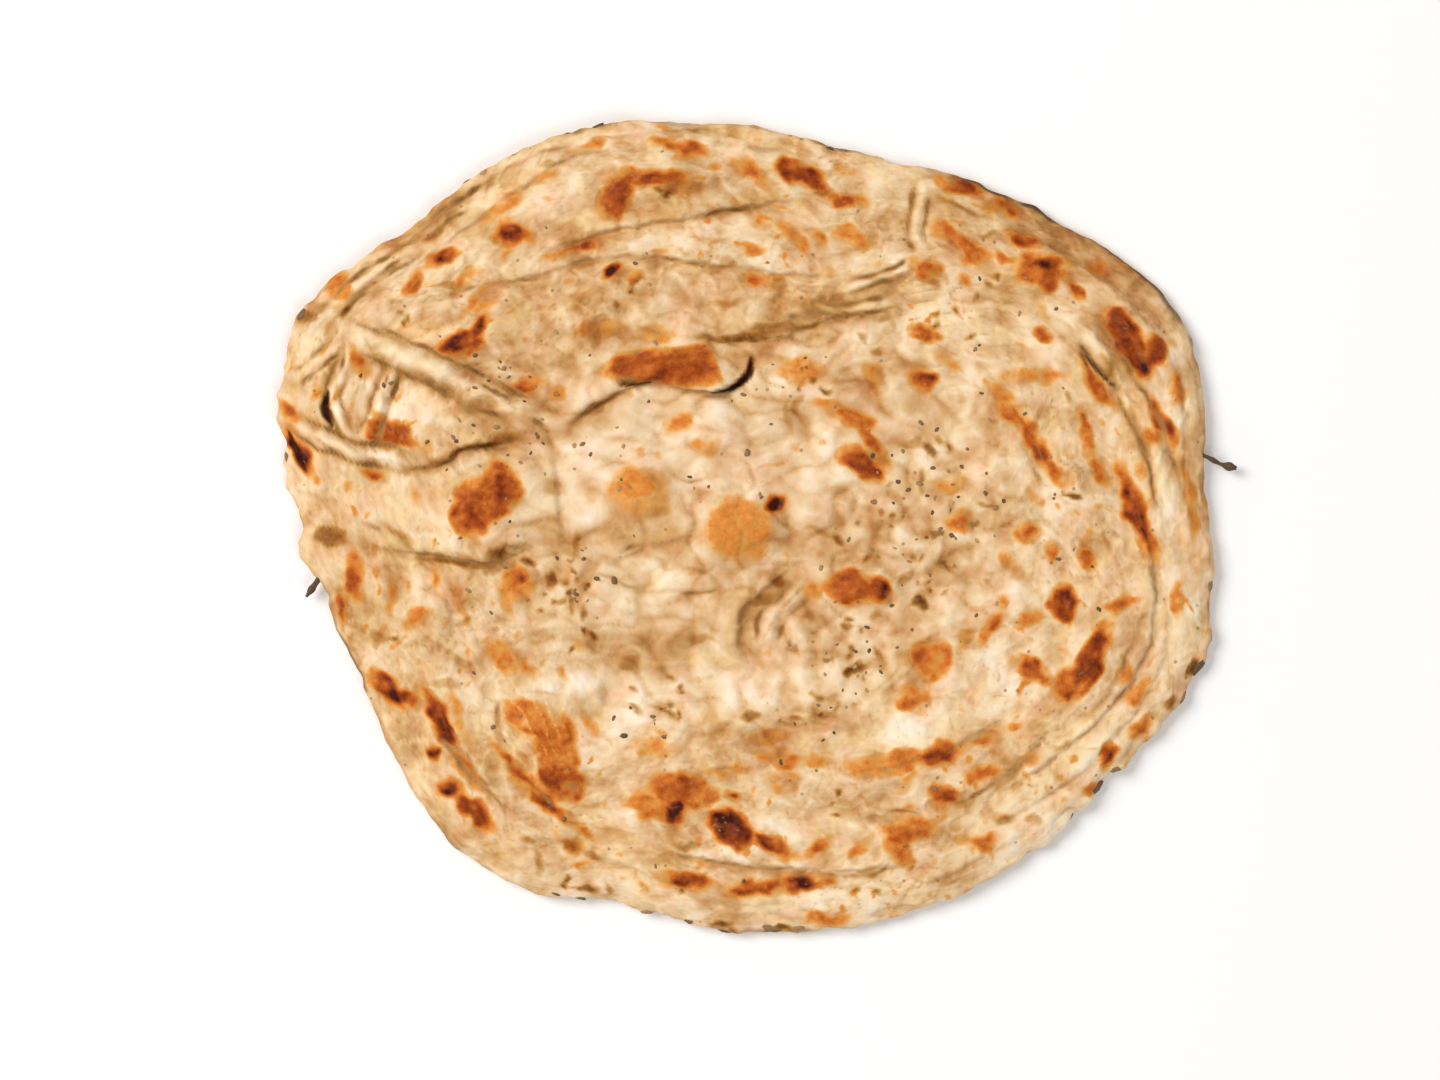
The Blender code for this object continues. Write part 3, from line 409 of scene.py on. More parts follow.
# ---------------------------------------------------------------- the fine mesh
BALL_SUBDIVISIONS = 8
UNDERSIDE_KEPT = 0.14
EDGE_WIDTH = 1.7
EVERYWHERE = slice(None)
# What each place on the upper face carries: how its lips lean, and what colours it.
LAYERS = ("lean_x", "lean_y", "brown", "crease", "pallor", "slit", "mark", "edge", "crumbly", "butter")


def smooth(t):
    """0 below 0, 1 above 1, and an even ramp between."""
    t = np.clip(t, 0.0, 1.0)
    return t * t * (3.0 - 2.0 * t)


def hump(away, width, power=2):
    """1 where away is 0, falling to 0 on both sides over about the width."""
    return np.exp(-((away / width) ** power))


def noise(u, v, seed):
    """Smooth unevenness between about -1 and 1, with cells one unit wide (gradient noise)."""
    turns = np.random.default_rng(seed).uniform(0.0, 2.0 * math.pi, (LATTICE, LATTICE))
    cell_u = np.floor(u).astype(int)
    cell_v = np.floor(v).astype(int)
    part_u = u - cell_u
    part_v = v - cell_v

    def slope_from(step_u, step_v):
        turn = turns[(cell_u + step_u) % LATTICE, (cell_v + step_v) % LATTICE]
        return np.cos(turn) * (part_u - step_u) + np.sin(turn) * (part_v - step_v)

    blend_u = smooth(part_u)
    blend_v = smooth(part_v)
    near = slope_from(0, 0) * (1.0 - blend_u) + slope_from(1, 0) * blend_u
    far = slope_from(0, 1) * (1.0 - blend_u) + slope_from(1, 1) * blend_u
    return 1.6 * (near * (1.0 - blend_v) + far * blend_v)


def uneven(place, size, seed):
    """Noise over places that have an x and a y, with cells of the given size."""
    return noise(place.x / size, place.y / size, seed)


def at(place, near):
    """Only those of the places that near picks."""
    return SimpleNamespace(x=place.x[near], y=place.y[near])


def raise_to(layer, values, near=EVERYWHERE):
    """Lifts a layer's numbers to the given ones, where those are higher."""
    layer[near] = np.maximum(layer[near], values)


def smooth_curve(points):
    """Points along the smooth (Catmull-Rom) curve through the given points."""
    given = np.asarray(points, dtype=float)
    ends = (2 * given[:1] - given[1:2], given, 2 * given[-1:] - given[-2:-1])
    held = np.concatenate(ends)
    t = np.linspace(0.0, 1.0, CURVE_STEPS, endpoint=False)[:, None]
    pieces = []
    for before, start, end, after in zip(held, held[1:], held[2:], held[3:]):
        slope = (end - before) * t
        bend = (2 * before - 5 * start + 4 * end - after) * t**2
        turn = (3 * start - before - 3 * end + after) * t**3
        pieces.append(start + 0.5 * (slope + bend + turn))
    return np.concatenate(pieces + [given[-1:]])


def degrees_from(angle, middle):
    """How far an angle in radians is from one in degrees, in degrees and the shorter way round."""
    return (np.degrees(angle) - middle + 180.0) % 360.0 - 180.0


def outline_radius(angle):
    """The distance from the middle to the edge at an angle in radians."""
    across = np.hypot(HALF_WIDTH * np.cos(angle), HALF_LENGTH * np.sin(angle))
    radius = HALF_LENGTH * HALF_WIDTH / across
    for bulge in BULGES:
        radius = radius + bulge.height * hump(degrees_from(angle, bulge.angle), bulge.spread)
    return radius


def cells_around(angle, times):
    """The angle as lattice cells that meet again after a full turn."""
    return times * LATTICE * angle / (2.0 * math.pi)


def edge_tears(angle):
    """How far the edge is torn in or out at an angle, in small uneven lobes."""
    row = np.zeros(angle.shape) + 0.4
    lobes = noise(cells_around(angle, 1), row, 3) + 0.8 * noise(cells_around(angle, 2), row, 4)
    lobes += 0.25 * noise(cells_around(angle, 5), row, 5)
    tears = 0.6 * lobes
    for middle, spread, depth in TORN_EDGES:
        tears = tears + depth * lobes * hump(degrees_from(angle, middle), spread)
    return tears


def nearest_on_curve(place, curve):
    """The signed distance to a curve, positive on its left, how far along it is, and the way left."""
    best = np.full(place.x.shape, np.inf)
    side = np.ones(place.x.shape)
    along = np.zeros(place.x.shape)
    left_x = np.zeros(place.x.shape)
    left_y = np.zeros(place.x.shape)
    last = len(curve) - 1
    for index, (start, end) in enumerate(zip(curve, curve[1:])):
        run = end - start
        length = math.hypot(*run)
        from_x = place.x - start[0]
        from_y = place.y - start[1]
        t = np.clip((from_x * run[0] + from_y * run[1]) / length**2, 0.0, 1.0)
        gap = np.hypot(from_x - t * run[0], from_y - t * run[1])
        nearer = gap < best
        best = np.where(nearer, gap, best)
        side = np.where(nearer, np.sign(run[0] * from_y - run[1] * from_x), side)
        along = np.where(nearer, (index + t) / last, along)
        left_x = np.where(nearer, -run[1] / length, left_x)
        left_y = np.where(nearer, run[0] / length, left_y)
    return best * np.where(side == 0, 1.0, side), along, left_x, left_y


def beside(place, curve, reach):
    """The places within reach of a curve's box: which they are, and how they lie to the curve."""
    low = curve.min(axis=0) - reach
    high = curve.max(axis=0) + reach
    near = (place.x > low[0]) & (place.x < high[0]) & (place.y > low[1]) & (place.y < high[1])
    here = at(place, near)
    return near, here, *nearest_on_curve(here, curve)


def end_taper(along):
    """1 along the middle of a fold, falling to 0 at both of its ends."""
    return smooth(along / 0.28) * smooth((1.0 - along) / 0.28)


def turned(place, spot):
    """The place along and across the axis of a spot, from its middle."""
    angle = math.radians(spot.turn)
    from_x = place.x - spot.x
    from_y = place.y - spot.y
    along = from_x * math.cos(angle) + from_y * math.sin(angle)
    across = from_y * math.cos(angle) - from_x * math.sin(angle)
    return along, across


def away_from(place, spot):
    """How far out each place is, squared: 0 in the spot's middle, 1 at its half length and width."""
    along, across = turned(place, spot)
    return (along / spot.length) ** 2 + (across / spot.width) ** 2


def depth_in(along, across, spot):
    """How deep inside an oval spot of full length and width each place lies, and how far out."""
    away = np.hypot(along / (0.5 * spot.length), across / (0.5 * spot.width))
    return (1.0 - away) * 0.5 * min(spot.length, spot.width), away


def coil_curve(fold):
    """The edge of a fold that runs along the coil."""
    angles = np.radians(np.linspace(fold.start, fold.end, 3 * CURVE_STEPS))
    t = np.linspace(0.0, 1.0, 3 * CURVE_STEPS)
    fractions = fold.first * (1 - t) * (1 - 2 * t) + fold.middle * 4 * t * (1 - t)
    fractions = fractions + fold.last * t * (2 * t - 1)
    radii = fractions * outline_radius(angles)
    return np.stack((radii * np.cos(angles), radii * np.sin(angles)), axis=1)


def add_fold(top, curve, fold):
    """The step where one layer lies over another: a lip that hangs over a crease darkened by painted shade.
    """
    near, here, gap, along, left_x, left_y = beside(top, curve, 2.5 * fold.reach)
    waver = 0.8 * uneven(here, 7.0, 51) + 0.3 * uneven(here, 2.5, 53)
    high_side = math.copysign(1.0, fold.rise)
    gap = gap * high_side + waver
    taper = end_taper(along)
    rise = abs(fold.rise) * (0.85 + 0.4 * uneven(here, 12.0, 57))
    step = smooth(gap / EDGE_WIDTH + 0.4) * hump(np.maximum(gap, 0.0), fold.reach)
    lip = hump(gap - 2.0, 1.9)
    top.height[near] += taper * rise * (step + 0.25 * lip - 0.45 * hump(gap + 1.0, 1.4))
    lean = fold.lean * taper * high_side * hump(gap - 1.2, 1.8)
    top.lean_x[near] -= lean * left_x
    top.lean_y[near] -= lean * left_y
    strength = fold.dark * np.sqrt(taper) * (0.62 + 0.6 * uneven(here, 9.0, 54))
    # Painted shade: a dark line in the crease, and the low side painted darker below the lip as a painted
    # shadow; the lip itself is browned.
    raise_to(top.crease, strength * hump(gap + 0.5, 0.75), near)
    shade = hump(np.minimum(gap, 0.0), 4.0) * smooth(0.5 - gap)
    singed = hump(gap - 1.5, 3.0)
    top.pallor[near] -= strength * (0.35 * shade + 0.35 * singed)
    raise_to(top.butter, 0.8 * taper * lip, near)


def add_rope(top, rope):
    """A rounded ridge with a shallow crease along each side, darkened by painted shade, paler on its crown.
    """
    near, here, gap, along, _, _ = beside(top, smooth_curve(rope.points), 2.0 * rope.width)
    waver = 0.9 * uneven(here, 7.0, 52) + 0.2 * uneven(here, 3.0, 55)
    out = np.abs(gap + waver)
    across = out / (0.5 * rope.width)
    crown = 0.5 + 0.5 * np.cos(math.pi * np.minimum(across, 1.0))
    crease = hump(across - 1.15, 0.4)
    taper = end_taper(along)
    top.height[near] += 1.15 * taper * rope.height * (crown - 0.35 * crease)
    broken = 0.7 + 0.5 * uneven(here, 6.0, 56)
    # Painted shade: darker lines along the rope's sides and a darker tone in its side creases.
    raise_to(top.crease, 0.70 * taper * broken * hump(out - 0.55 * rope.width, 0.95), near)
    top.pallor[near] += taper * (0.30 * crown - 0.22 * crease)
    raise_to(top.butter, taper * crown, near)


def add_blister(top, blister):
    """A low dome, steeper at its edge than on its crown."""
    top.height += 1.2 * blister.height * np.exp(-(away_from(top, blister) ** 1.4))


def ridge(values, width=0.30):
    """1 along the lines where a noise passes through 0, falling away quickly on both sides."""
    return np.maximum(1.0 - np.abs(values) / width, 0.0) ** 2


def add_coil(top):
    """Rounded turns of dough that follow the rim, with pleats, pale veins and fine grooves darkened by
    painted shade along them.
    """
    turns = COIL_TURNS * top.fraction + top.angle / (2 * math.pi) + 0.5 * uneven(top, 30.0, 11)
    part = turns - np.floor(turns)
    round_top = 1.0 - np.abs(2.0 * part - 1.0) ** 3
    patches = 0.65 + 0.35 * uneven(top, 22.0, 12)
    strength = smooth((top.fraction - COIL_START) / 0.3) * patches
    top.height += COIL_DEPTH * strength * (round_top - 0.6)
    once = cells_around(top.angle, 1)
    twice = cells_around(top.angle, 2)
    wrinkles = noise(once, top.fraction * 24.0, 25) + 0.5 * noise(twice, top.fraction * 45.0, 26)
    outer = smooth((top.fraction - 0.35) / 0.3)
    top.height += 0.5 * wrinkles * outer
    push = 0.8 * uneven(top, 9.0, 13)
    veins = ridge(noise(once + push, top.fraction * 17.0 + push, 27), 0.45)
    grooves = ridge(noise(twice + push, top.fraction * 30.0 - push, 28))
    patchy = smooth(0.5 + 0.9 * uneven(top, 20.0, 14))
    top.height += outer * (0.45 * veins - 0.4 * grooves * patchy)
    # The veins are paler dough; the grooves are painted darker, as painted shade.
    top.pallor += outer * (0.26 * veins - 0.22 * grooves)
    raise_to(top.crease, 0.38 * outer * patchy * grooves**3)
    raise_to(top.butter, outer * veins)


def add_lumps(top):
    """Soft lumps in the middle, crumpled folds over them, and a crumbly surface in places, painted paler on
    their tops and darker in their valleys and pits as painted light and shade.
    """
    soft = uneven(top, 17.0, 21) + 0.5 * uneven(top, 8.0, 22)
    inner = smooth((0.75 - top.fraction) / 0.3)
    top.height += soft * (0.5 + 0.6 * inner) + 0.8 * uneven(top, 45.0, 24)
    push_x = 5.0 * uneven(top, 16.0, 15)
    push_y = 5.0 * uneven(top, 16.0, 16)
    puffs = np.sqrt(np.abs(noise((top.x + push_x) / 14.0, (top.y + push_y) / 12.0, 23)))
    top.height += inner * 1.3 * puffs
    # Painted light and shade: the puffs paler on top and darker between them.
    top.pallor += inner * 0.45 * (puffs - 0.5)
    broken = smooth(0.6 + 0.9 * uneven(top, 11.0, 20))
    crests = broken * ridge(noise((top.x + push_x) / 15.0, (top.y + push_y) / 9.5, 117), 0.45)
    valleys = ridge(noise((top.x - push_y) / 15.0, (top.y + push_x) / 9.0, 118)) * smooth(1.3 - broken)
    small = broken * ridge(noise((top.x + push_y) / 6.5, (top.y - push_x) / 4.6, 119), 0.40)
    top.height += (0.25 + 0.75 * inner) * (0.55 * crests - 0.7 * valleys + 0.18 * small)
    # Painted light and shade: crests paler, valleys darker.
    top.pallor += (0.3 + 0.7 * inner) * (0.16 * crests - 0.28 * valleys + 0.03 * small)
    raise_to(top.crease, 0.18 * inner * valleys**2)
    crumbs = uneven(top, 4.2, 28) + 0.5 * uneven(top, 2.1, 29)
    for patch in CRUMBLY:
        raise_to(top.crumbly, np.exp(-(away_from(top, Spot(*patch, turn=0, tone=1)) ** 1.5)))
    top.height += crumbs * (0.12 + 0.42 * top.crumbly)
    # Painted light and shade: crumbs paler on top, their pits darker.
    top.pallor += 0.22 * crumbs * top.crumbly
    pits = smooth((-crumbs - 0.45) / 0.3) * top.crumbly
    raise_to(top.crease, 0.55 * pits)


def plain_thickness(fraction):
    """The thickness from the dished middle, over the shoulder, down to the rim."""
    shoulder = CENTRE_THICKNESS + (SHOULDER_THICKNESS - CENTRE_THICKNESS) * smooth((fraction - 0.3) / 0.35)
    return shoulder + (RIM_THICKNESS - SHOULDER_THICKNESS) * smooth((fraction - 0.85) / 0.15)


def warped(place, strength=1.0):
    """Places pushed about unevenly, so that what is drawn there gets an irregular edge."""
    push_x = 1.3 * uneven(place, 8.0, 41) + 0.7 * uneven(place, 3.2, 42)
    push_y = 1.3 * uneven(place, 8.0, 43) + 0.7 * uneven(place, 3.2, 44)
    return SimpleNamespace(x=place.x + strength * push_x, y=place.y + strength * push_y)


def inside_corners(place, corners):
    """How far inside a closed outline with corners each place is, negative outside."""
    loop = np.array(corners + corners[:1], dtype=float)
    gap, _, _, _ = nearest_on_curve(place, loop)
    crossings = np.zeros(place.x.shape, dtype=int)
    for (start_x, start_y), (end_x, end_y) in zip(loop, loop[1:]):
        spans = (start_y > place.y) != (end_y > place.y)
        crossing_x = start_x + (place.y - start_y) * (end_x - start_x) / (end_y - start_y + 1e-9)
        crossings += spans & (place.x < crossing_x)
    return np.abs(gap) * np.where(crossings % 2 == 1, 1.0, -1.0)


def stray_streaks():
    """Small browned streaks that follow the turns of the coil."""
    rng = np.random.default_rng(STREAK_SEED)
    spots = []
    for _ in range(STRAY_STREAKS):
        angle = rng.uniform(-math.pi, math.pi)
        reach = outline_radius(angle) * math.sqrt(rng.uniform(STRAY_FROM**2, STRAY_TO**2))
        turn = math.degrees(angle) + 90.0 + rng.normal(0.0, 12.0)
        size = (rng.uniform(4.0, 10.0), rng.uniform(1.6, 3.2))
        place = (reach * math.cos(angle), reach * math.sin(angle))
        spots.append(Spot(*place, *size, turn, rng.uniform(0.30, 0.60)))
    return tuple(spots)


def brown_top(top):
    """How browned each place is, and how far inside the nearest browned spot it lies."""
    pushed = warped(top, 1.2)
    mottle = 0.16 * uneven(top, 5.0, 46) + 0.10 * uneven(top, 2.3, 47)
    rim = 0.45 + 0.35 * uneven(top, 7.0, 58)
    inset = 0.5 - 1.3 * uneven(top, 5.0, 59)
    top.depth = np.full(top.x.shape, FAR_OUTSIDE)

    def lay(depth, tone, mottling=1.0):
        edge = rim * smooth((depth + 2.0) / 2.2) + (1.0 - rim) * smooth((depth + 1.2 - inset) / 2.4)
        raise_to(top.brown, edge * (tone + mottling * mottle))
        raise_to(top.depth, depth)

    for number, spot in enumerate(BROWNED + stray_streaks()):
        along, across = turned(pushed, spot)
        streaks = 0.22 * spot.tone**2 * noise(along / 6.0 + 7.0 * number, across / 1.9, 53)
        depth, _ = depth_in(along, across, spot)
        lay(depth, SPOT_TONE * (spot.tone + streaks))
    along, across = turned(top, SimpleNamespace(x=0.0, y=0.0, turn=FLAP_TURN))
    streaks = 0.18 * noise(along / 14.0, across / 2.0, 54)
    lay(inside_corners(top, FLAP_SCORCH), SPOT_TONE * (FLAP_SCORCH_TONE + streaks), mottling=0.4)
    for spot in STAINS:
        depth, away = depth_in(*turned(pushed, spot), spot)
        stain = spot.tone * smooth((1.2 - away) / 0.55) * (0.86 + 0.14 * np.minimum(away / 0.35, 1.0))
        raise_to(top.brown, stain + 0.3 * mottle * stain)
        raise_to(top.depth, depth)
    freckle(top, pushed)
    mark_top(top, pushed)
    fan_out(top)


def fan_out(top):
    """Fine pale ribs that spread from a hub over a browned blister."""
    from_x = top.x - FAN_HUB[0]
    from_y = top.y - FAN_HUB[1]
    turn = np.arctan2(from_y, from_x) + 0.06 * uneven(top, 6.0, 66)
    ring = hump(np.hypot(from_x, from_y) - FAN_REACH, 0.5 * FAN_REACH, 4)
    inside = ring * hump(degrees_from(turn, FAN_MIDDLE), FAN_WIDTH, 4)
    ribs = inside * ridge(np.sin(0.5 * FAN_RIBS * turn), 0.55)
    top.brown *= 1.0 - 0.45 * ribs
    top.height += 0.5 * ribs
    top.pallor += 0.3 * ribs


def specks():
    """The specks of the clusters."""
    rng = np.random.default_rng(SPECK_SEED)
    spots = []
    for middle_x, middle_y, spread, count in SPECK_CLUSTERS:
        for _ in range(count):
            place = rng.normal((middle_x, middle_y), spread)
            size = (rng.uniform(1.6, 3.2), rng.uniform(1.2, 1.8))
            spots.append(Spot(*place, *size, rng.uniform(0, 180), rng.uniform(0.6, 1)))
    return tuple(spots)


def mark_top(top, pushed):
    """Small dark marks and specks, and painted shadows under folds."""
    for spot in MARKS_AND_FOLD_SHADOWS + specks():
        reach = 0.5 * max(spot.length, spot.width) + 3.0
        near = np.hypot(pushed.x - spot.x, pushed.y - spot.y) < reach
        depth, _ = depth_in(*turned(at(pushed, near), spot), spot)
        raise_to(top.mark, spot.tone * smooth((depth + 0.75) / 1.4), near)


def freckle(top, pushed):
    """Small tan freckles, longer along the coil toward the rim."""
    around = noise(cells_around(top.angle, 3) + 0.1 * pushed.x, top.fraction * 44.0 + 0.1 * pushed.y, 48)
    loose = noise(pushed.x / 3.6, pushed.y / 3.0, 49)
    outer = smooth((top.fraction - 0.45) / 0.2)
    marks = smooth((loose + (around - loose) * outer - 0.30) / 0.45)
    patchy = smooth(0.5 + 0.9 * uneven(top, 20.0, 50))
    raise_to(top.brown, (0.26 + 0.12 * outer) * marks * (0.25 + 0.75 * patchy))


def draw_creases(top):
    """Thin creases, each a shallow groove with a darker line of painted shade in it and a wider painted
    shade around it.
    """
    pushed = warped(top, 0.45)
    for points, half_width, strength in CREASES:
        near, here, gap, along, _, _ = beside(pushed, smooth_curve(points), 6.0)
        taper = np.sin(math.pi * np.clip(along, 0.04, 0.96)) ** 0.6
        line = taper * hump(gap, half_width + 0.25)
        top.height[near] -= 0.55 * strength * line
        worn = 0.75 + 0.4 * uneven(here, 4.0, 65)
        # Painted shade: the dark line in the crease and the darker band around it.
        raise_to(top.crease, strength * worn * line, near)
        top.pallor[near] -= 0.35 * strength * taper * hump(gap, half_width + 2.2)


def cut_slits(top):
    """Deep slits between layers, painted dark as shade."""
    for points, half_width in SLITS:
        near, _, gap, along, _, _ = beside(top, smooth_curve(points), 6.0)
        width = half_width * (0.35 + 0.65 * np.sin(math.pi * np.clip(along, 0.02, 0.98)))
        inside = smooth((width + 0.5 - np.abs(gap)) / 0.9)
        raise_to(top.slit, inside, near)
        top.height[near] -= 1.8 * inside


def toast_top(top):
    """Which stretches of the dough are pale and which darker: toasting, painted shade under folds, and
    painted shade on the outer wall of the rim.
    """
    top.pallor += 0.42 * uneven(top, 14.0, 61) + 0.30 * uneven(top, 6.0, 62)
    pushed = warped(top)
    # Toasting, and painted shade under folds.
    for spot in TOAST_AND_SHADE:
        top.pallor += spot.tone * np.exp(-(away_from(pushed, spot) ** 1.5))
    # Painted shade along the outer wall of the rim.
    for middle, spread, strength in RIM_WALL_SHADE_LINES:
        raise_to(top.edge, strength * hump(degrees_from(top.angle, middle), spread, 4))
    top.edge *= smooth(0.75 + noise(cells_around(top.angle, 2), np.zeros(top.x.shape) + 0.4, 63))


def shape_top(x, y, angle, fraction):
    """The upper face: its height, how its lips lean, and what colours it."""
    blank = {name: np.zeros(x.shape) for name in LAYERS}
    top = SimpleNamespace(x=x, y=y, angle=angle, fraction=fraction, **blank)
    top.height = plain_thickness(fraction)
    add_coil(top)
    add_lumps(top)
    for fold in COIL_FOLDS:
        add_fold(top, coil_curve(fold), fold)
    for fold in FOLDS:
        add_fold(top, smooth_curve(fold.points), fold)
    for rope in ROPES:
        add_rope(top, rope)
    for blister in BLISTERS:
        add_blister(top, blister)
    brown_top(top)
    top.height += 0.3 * smooth(top.depth / 2.0) * (1.0 + 0.5 * uneven(top, 2.4, 45))
    draw_creases(top)
    cut_slits(top)
    toast_top(top)
    return top


def underside_height(x, y, fraction):
    """The height of the lower face: flat on the table, with shallow hollows, lifting at the rim."""
    lift = RIM_LIFT * smooth((fraction - CONTACT) / (1.0 - CONTACT))
    dimples = smooth(noise(x / 13.0, y / 13.0, 31) * 2.0 - 0.5)
    return np.maximum(lift, DIMPLE_DEPTH * dimples * smooth((fraction - 0.15) / 0.1))


def cavity(x, y, height, cell=1.4, spread=3):
    """How far each place lies below its surroundings, from the heights gathered on a square grid."""
    low_x = x.min() - cell
    low_y = y.min() - cell
    column = ((x - low_x) / cell).astype(int)
    row = ((y - low_y) / cell).astype(int)
    shape = (column.max() + 2, row.max() + 2)
    total = np.zeros(shape)
    count = np.zeros(shape)
    np.add.at(total, (column, row), height)
    np.add.at(count, (column, row), 1.0)
    kernel = hump(np.arange(-3 * spread, 3 * spread + 1), spread)
    for axis in (0, 1):
        total = np.apply_along_axis(lambda line: np.convolve(line, kernel, "same"), axis, total)
        count = np.apply_along_axis(lambda line: np.convolve(line, kernel, "same"), axis, count)
    around = total / np.maximum(count, 1e-6)
    return around[column, row] - height


def form_bread(ball):
    """The places on the bread, in millimetres, of points on a ball of radius 1, and what colours them."""
    x, y, z = ball.T
    angle = np.arctan2(y, x)
    radius = outline_radius(angle) + edge_tears(angle)
    flat = radius - RIM_ROUNDING
    path = np.sqrt(1.0 - np.minimum(np.abs(z), 1.0)) * (flat + 0.5 * math.pi * RIM_ROUNDING)
    bend = np.clip((path - flat) / RIM_ROUNDING, 0.0, 0.5 * math.pi)
    reach = np.minimum(path, flat) + RIM_ROUNDING * np.sin(bend)
    plan_x = reach * np.cos(angle)
    plan_y = reach * np.sin(angle)
    fraction = np.hypot(plan_x, plan_y) / outline_radius(angle)
    top = shape_top(plan_x, plan_y, angle, fraction)
    upper = z >= 0.0
    low = underside_height(plan_x, plan_y, fraction)
    high = np.maximum(top.height, low + LEAST_THICKNESS)
    # How far each place lies below its surroundings, for the painted shade in hollows.
    top.cavity = np.zeros(x.shape)
    top.cavity[upper] = cavity(plan_x[upper], plan_y[upper], high[upper])
    middle = low + (0.5 * (RIM_THICKNESS - RIM_LIFT)) * (high - low) / RIM_THICKNESS
    height = middle + (np.where(upper, high, low) - middle) * np.cos(bend)
    leaning = np.where(upper, np.cos(bend), 0.0)
    layers = noise(cells_around(angle, 1), height / 1.7, 71)
    layers += 0.6 * noise(cells_around(angle, 3), height / 1.1, 72)
    flaking = 0.55 * layers * smooth(bend / 0.8)
    form_x = plan_x + leaning * top.lean_x + flaking * np.cos(angle)
    form_y = plan_y + leaning * top.lean_y + flaking * np.sin(angle)
    top.bend = bend
    top.upper = upper
    return np.stack((form_x, form_y, height), axis=1), top


def stand(name, data):
    """A new object in the scene."""
    item = bpy.data.objects.new(name, data)
    bpy.context.scene.collection.objects.link(item)
    return item


def mesh_of(item):
    """The item's mesh as its modifiers, or a line's thickness, make it."""
    bpy.context.view_layer.update()
    evaluated = item.evaluated_get(bpy.context.evaluated_depsgraph_get())
    return bpy.data.meshes.new_from_object(evaluated)


def thinned_ball():
    """A fine ball whose lower half has fewer, larger faces."""
    ball = bmesh.new()
    bmesh.ops.create_icosphere(ball, subdivisions=BALL_SUBDIVISIONS, radius=1.0)
    mesh = bpy.data.meshes.new("bread_skin")
    ball.to_mesh(mesh)
    ball.free()
    item = stand("bread_skin", mesh)
    lower = item.vertex_groups.new(name="lower")
    lower.add(np.flatnonzero(read_places(mesh)[:, 2] < -0.02).tolist(), 1.0, "REPLACE")
    thinning = item.modifiers.new("thinning", "DECIMATE")
    thinning.vertex_group = lower.name
    thinning.ratio = 0.5 + 0.5 * UNDERSIDE_KEPT
    thinned = mesh_of(item)
    item.modifiers.clear()
    item.vertex_groups.clear()
    item.data = thinned
    return item


def read_places(mesh):
    places = np.empty(3 * len(mesh.vertices))
    mesh.vertices.foreach_get("co", places)
    return places.reshape(-1, 3)


def write_places(mesh, places):
    mesh.vertices.foreach_set("co", np.ascontiguousarray(places).ravel())
    mesh.update()


def paint(mesh, name, values):
    """Keeps one number for each vertex, for the material to read."""
    layer = mesh.attributes.new(name, "FLOAT", "POINT")
    layer.data.foreach_set("value", np.ascontiguousarray(values, dtype=np.float32))


def paint_vector(mesh, name, vectors):
    layer = mesh.attributes.new(name, "FLOAT_VECTOR", "POINT")
    layer.data.foreach_set("vector", np.ascontiguousarray(vectors, dtype=np.float32).ravel())


# ---------------------------------------------------------------- materials
PER_MM = 1.0 / MM


def tint(red, green, blue):
    """A display colour, each channel 0 to 255, as the linear colour that a shader takes."""
    channels = (red / 255, green / 255, blue / 255)
    return tuple(c / 12.92 if c <= 0.04045 else ((c + 0.055) / 1.055) ** 2.4 for c in channels) + (1.0,)


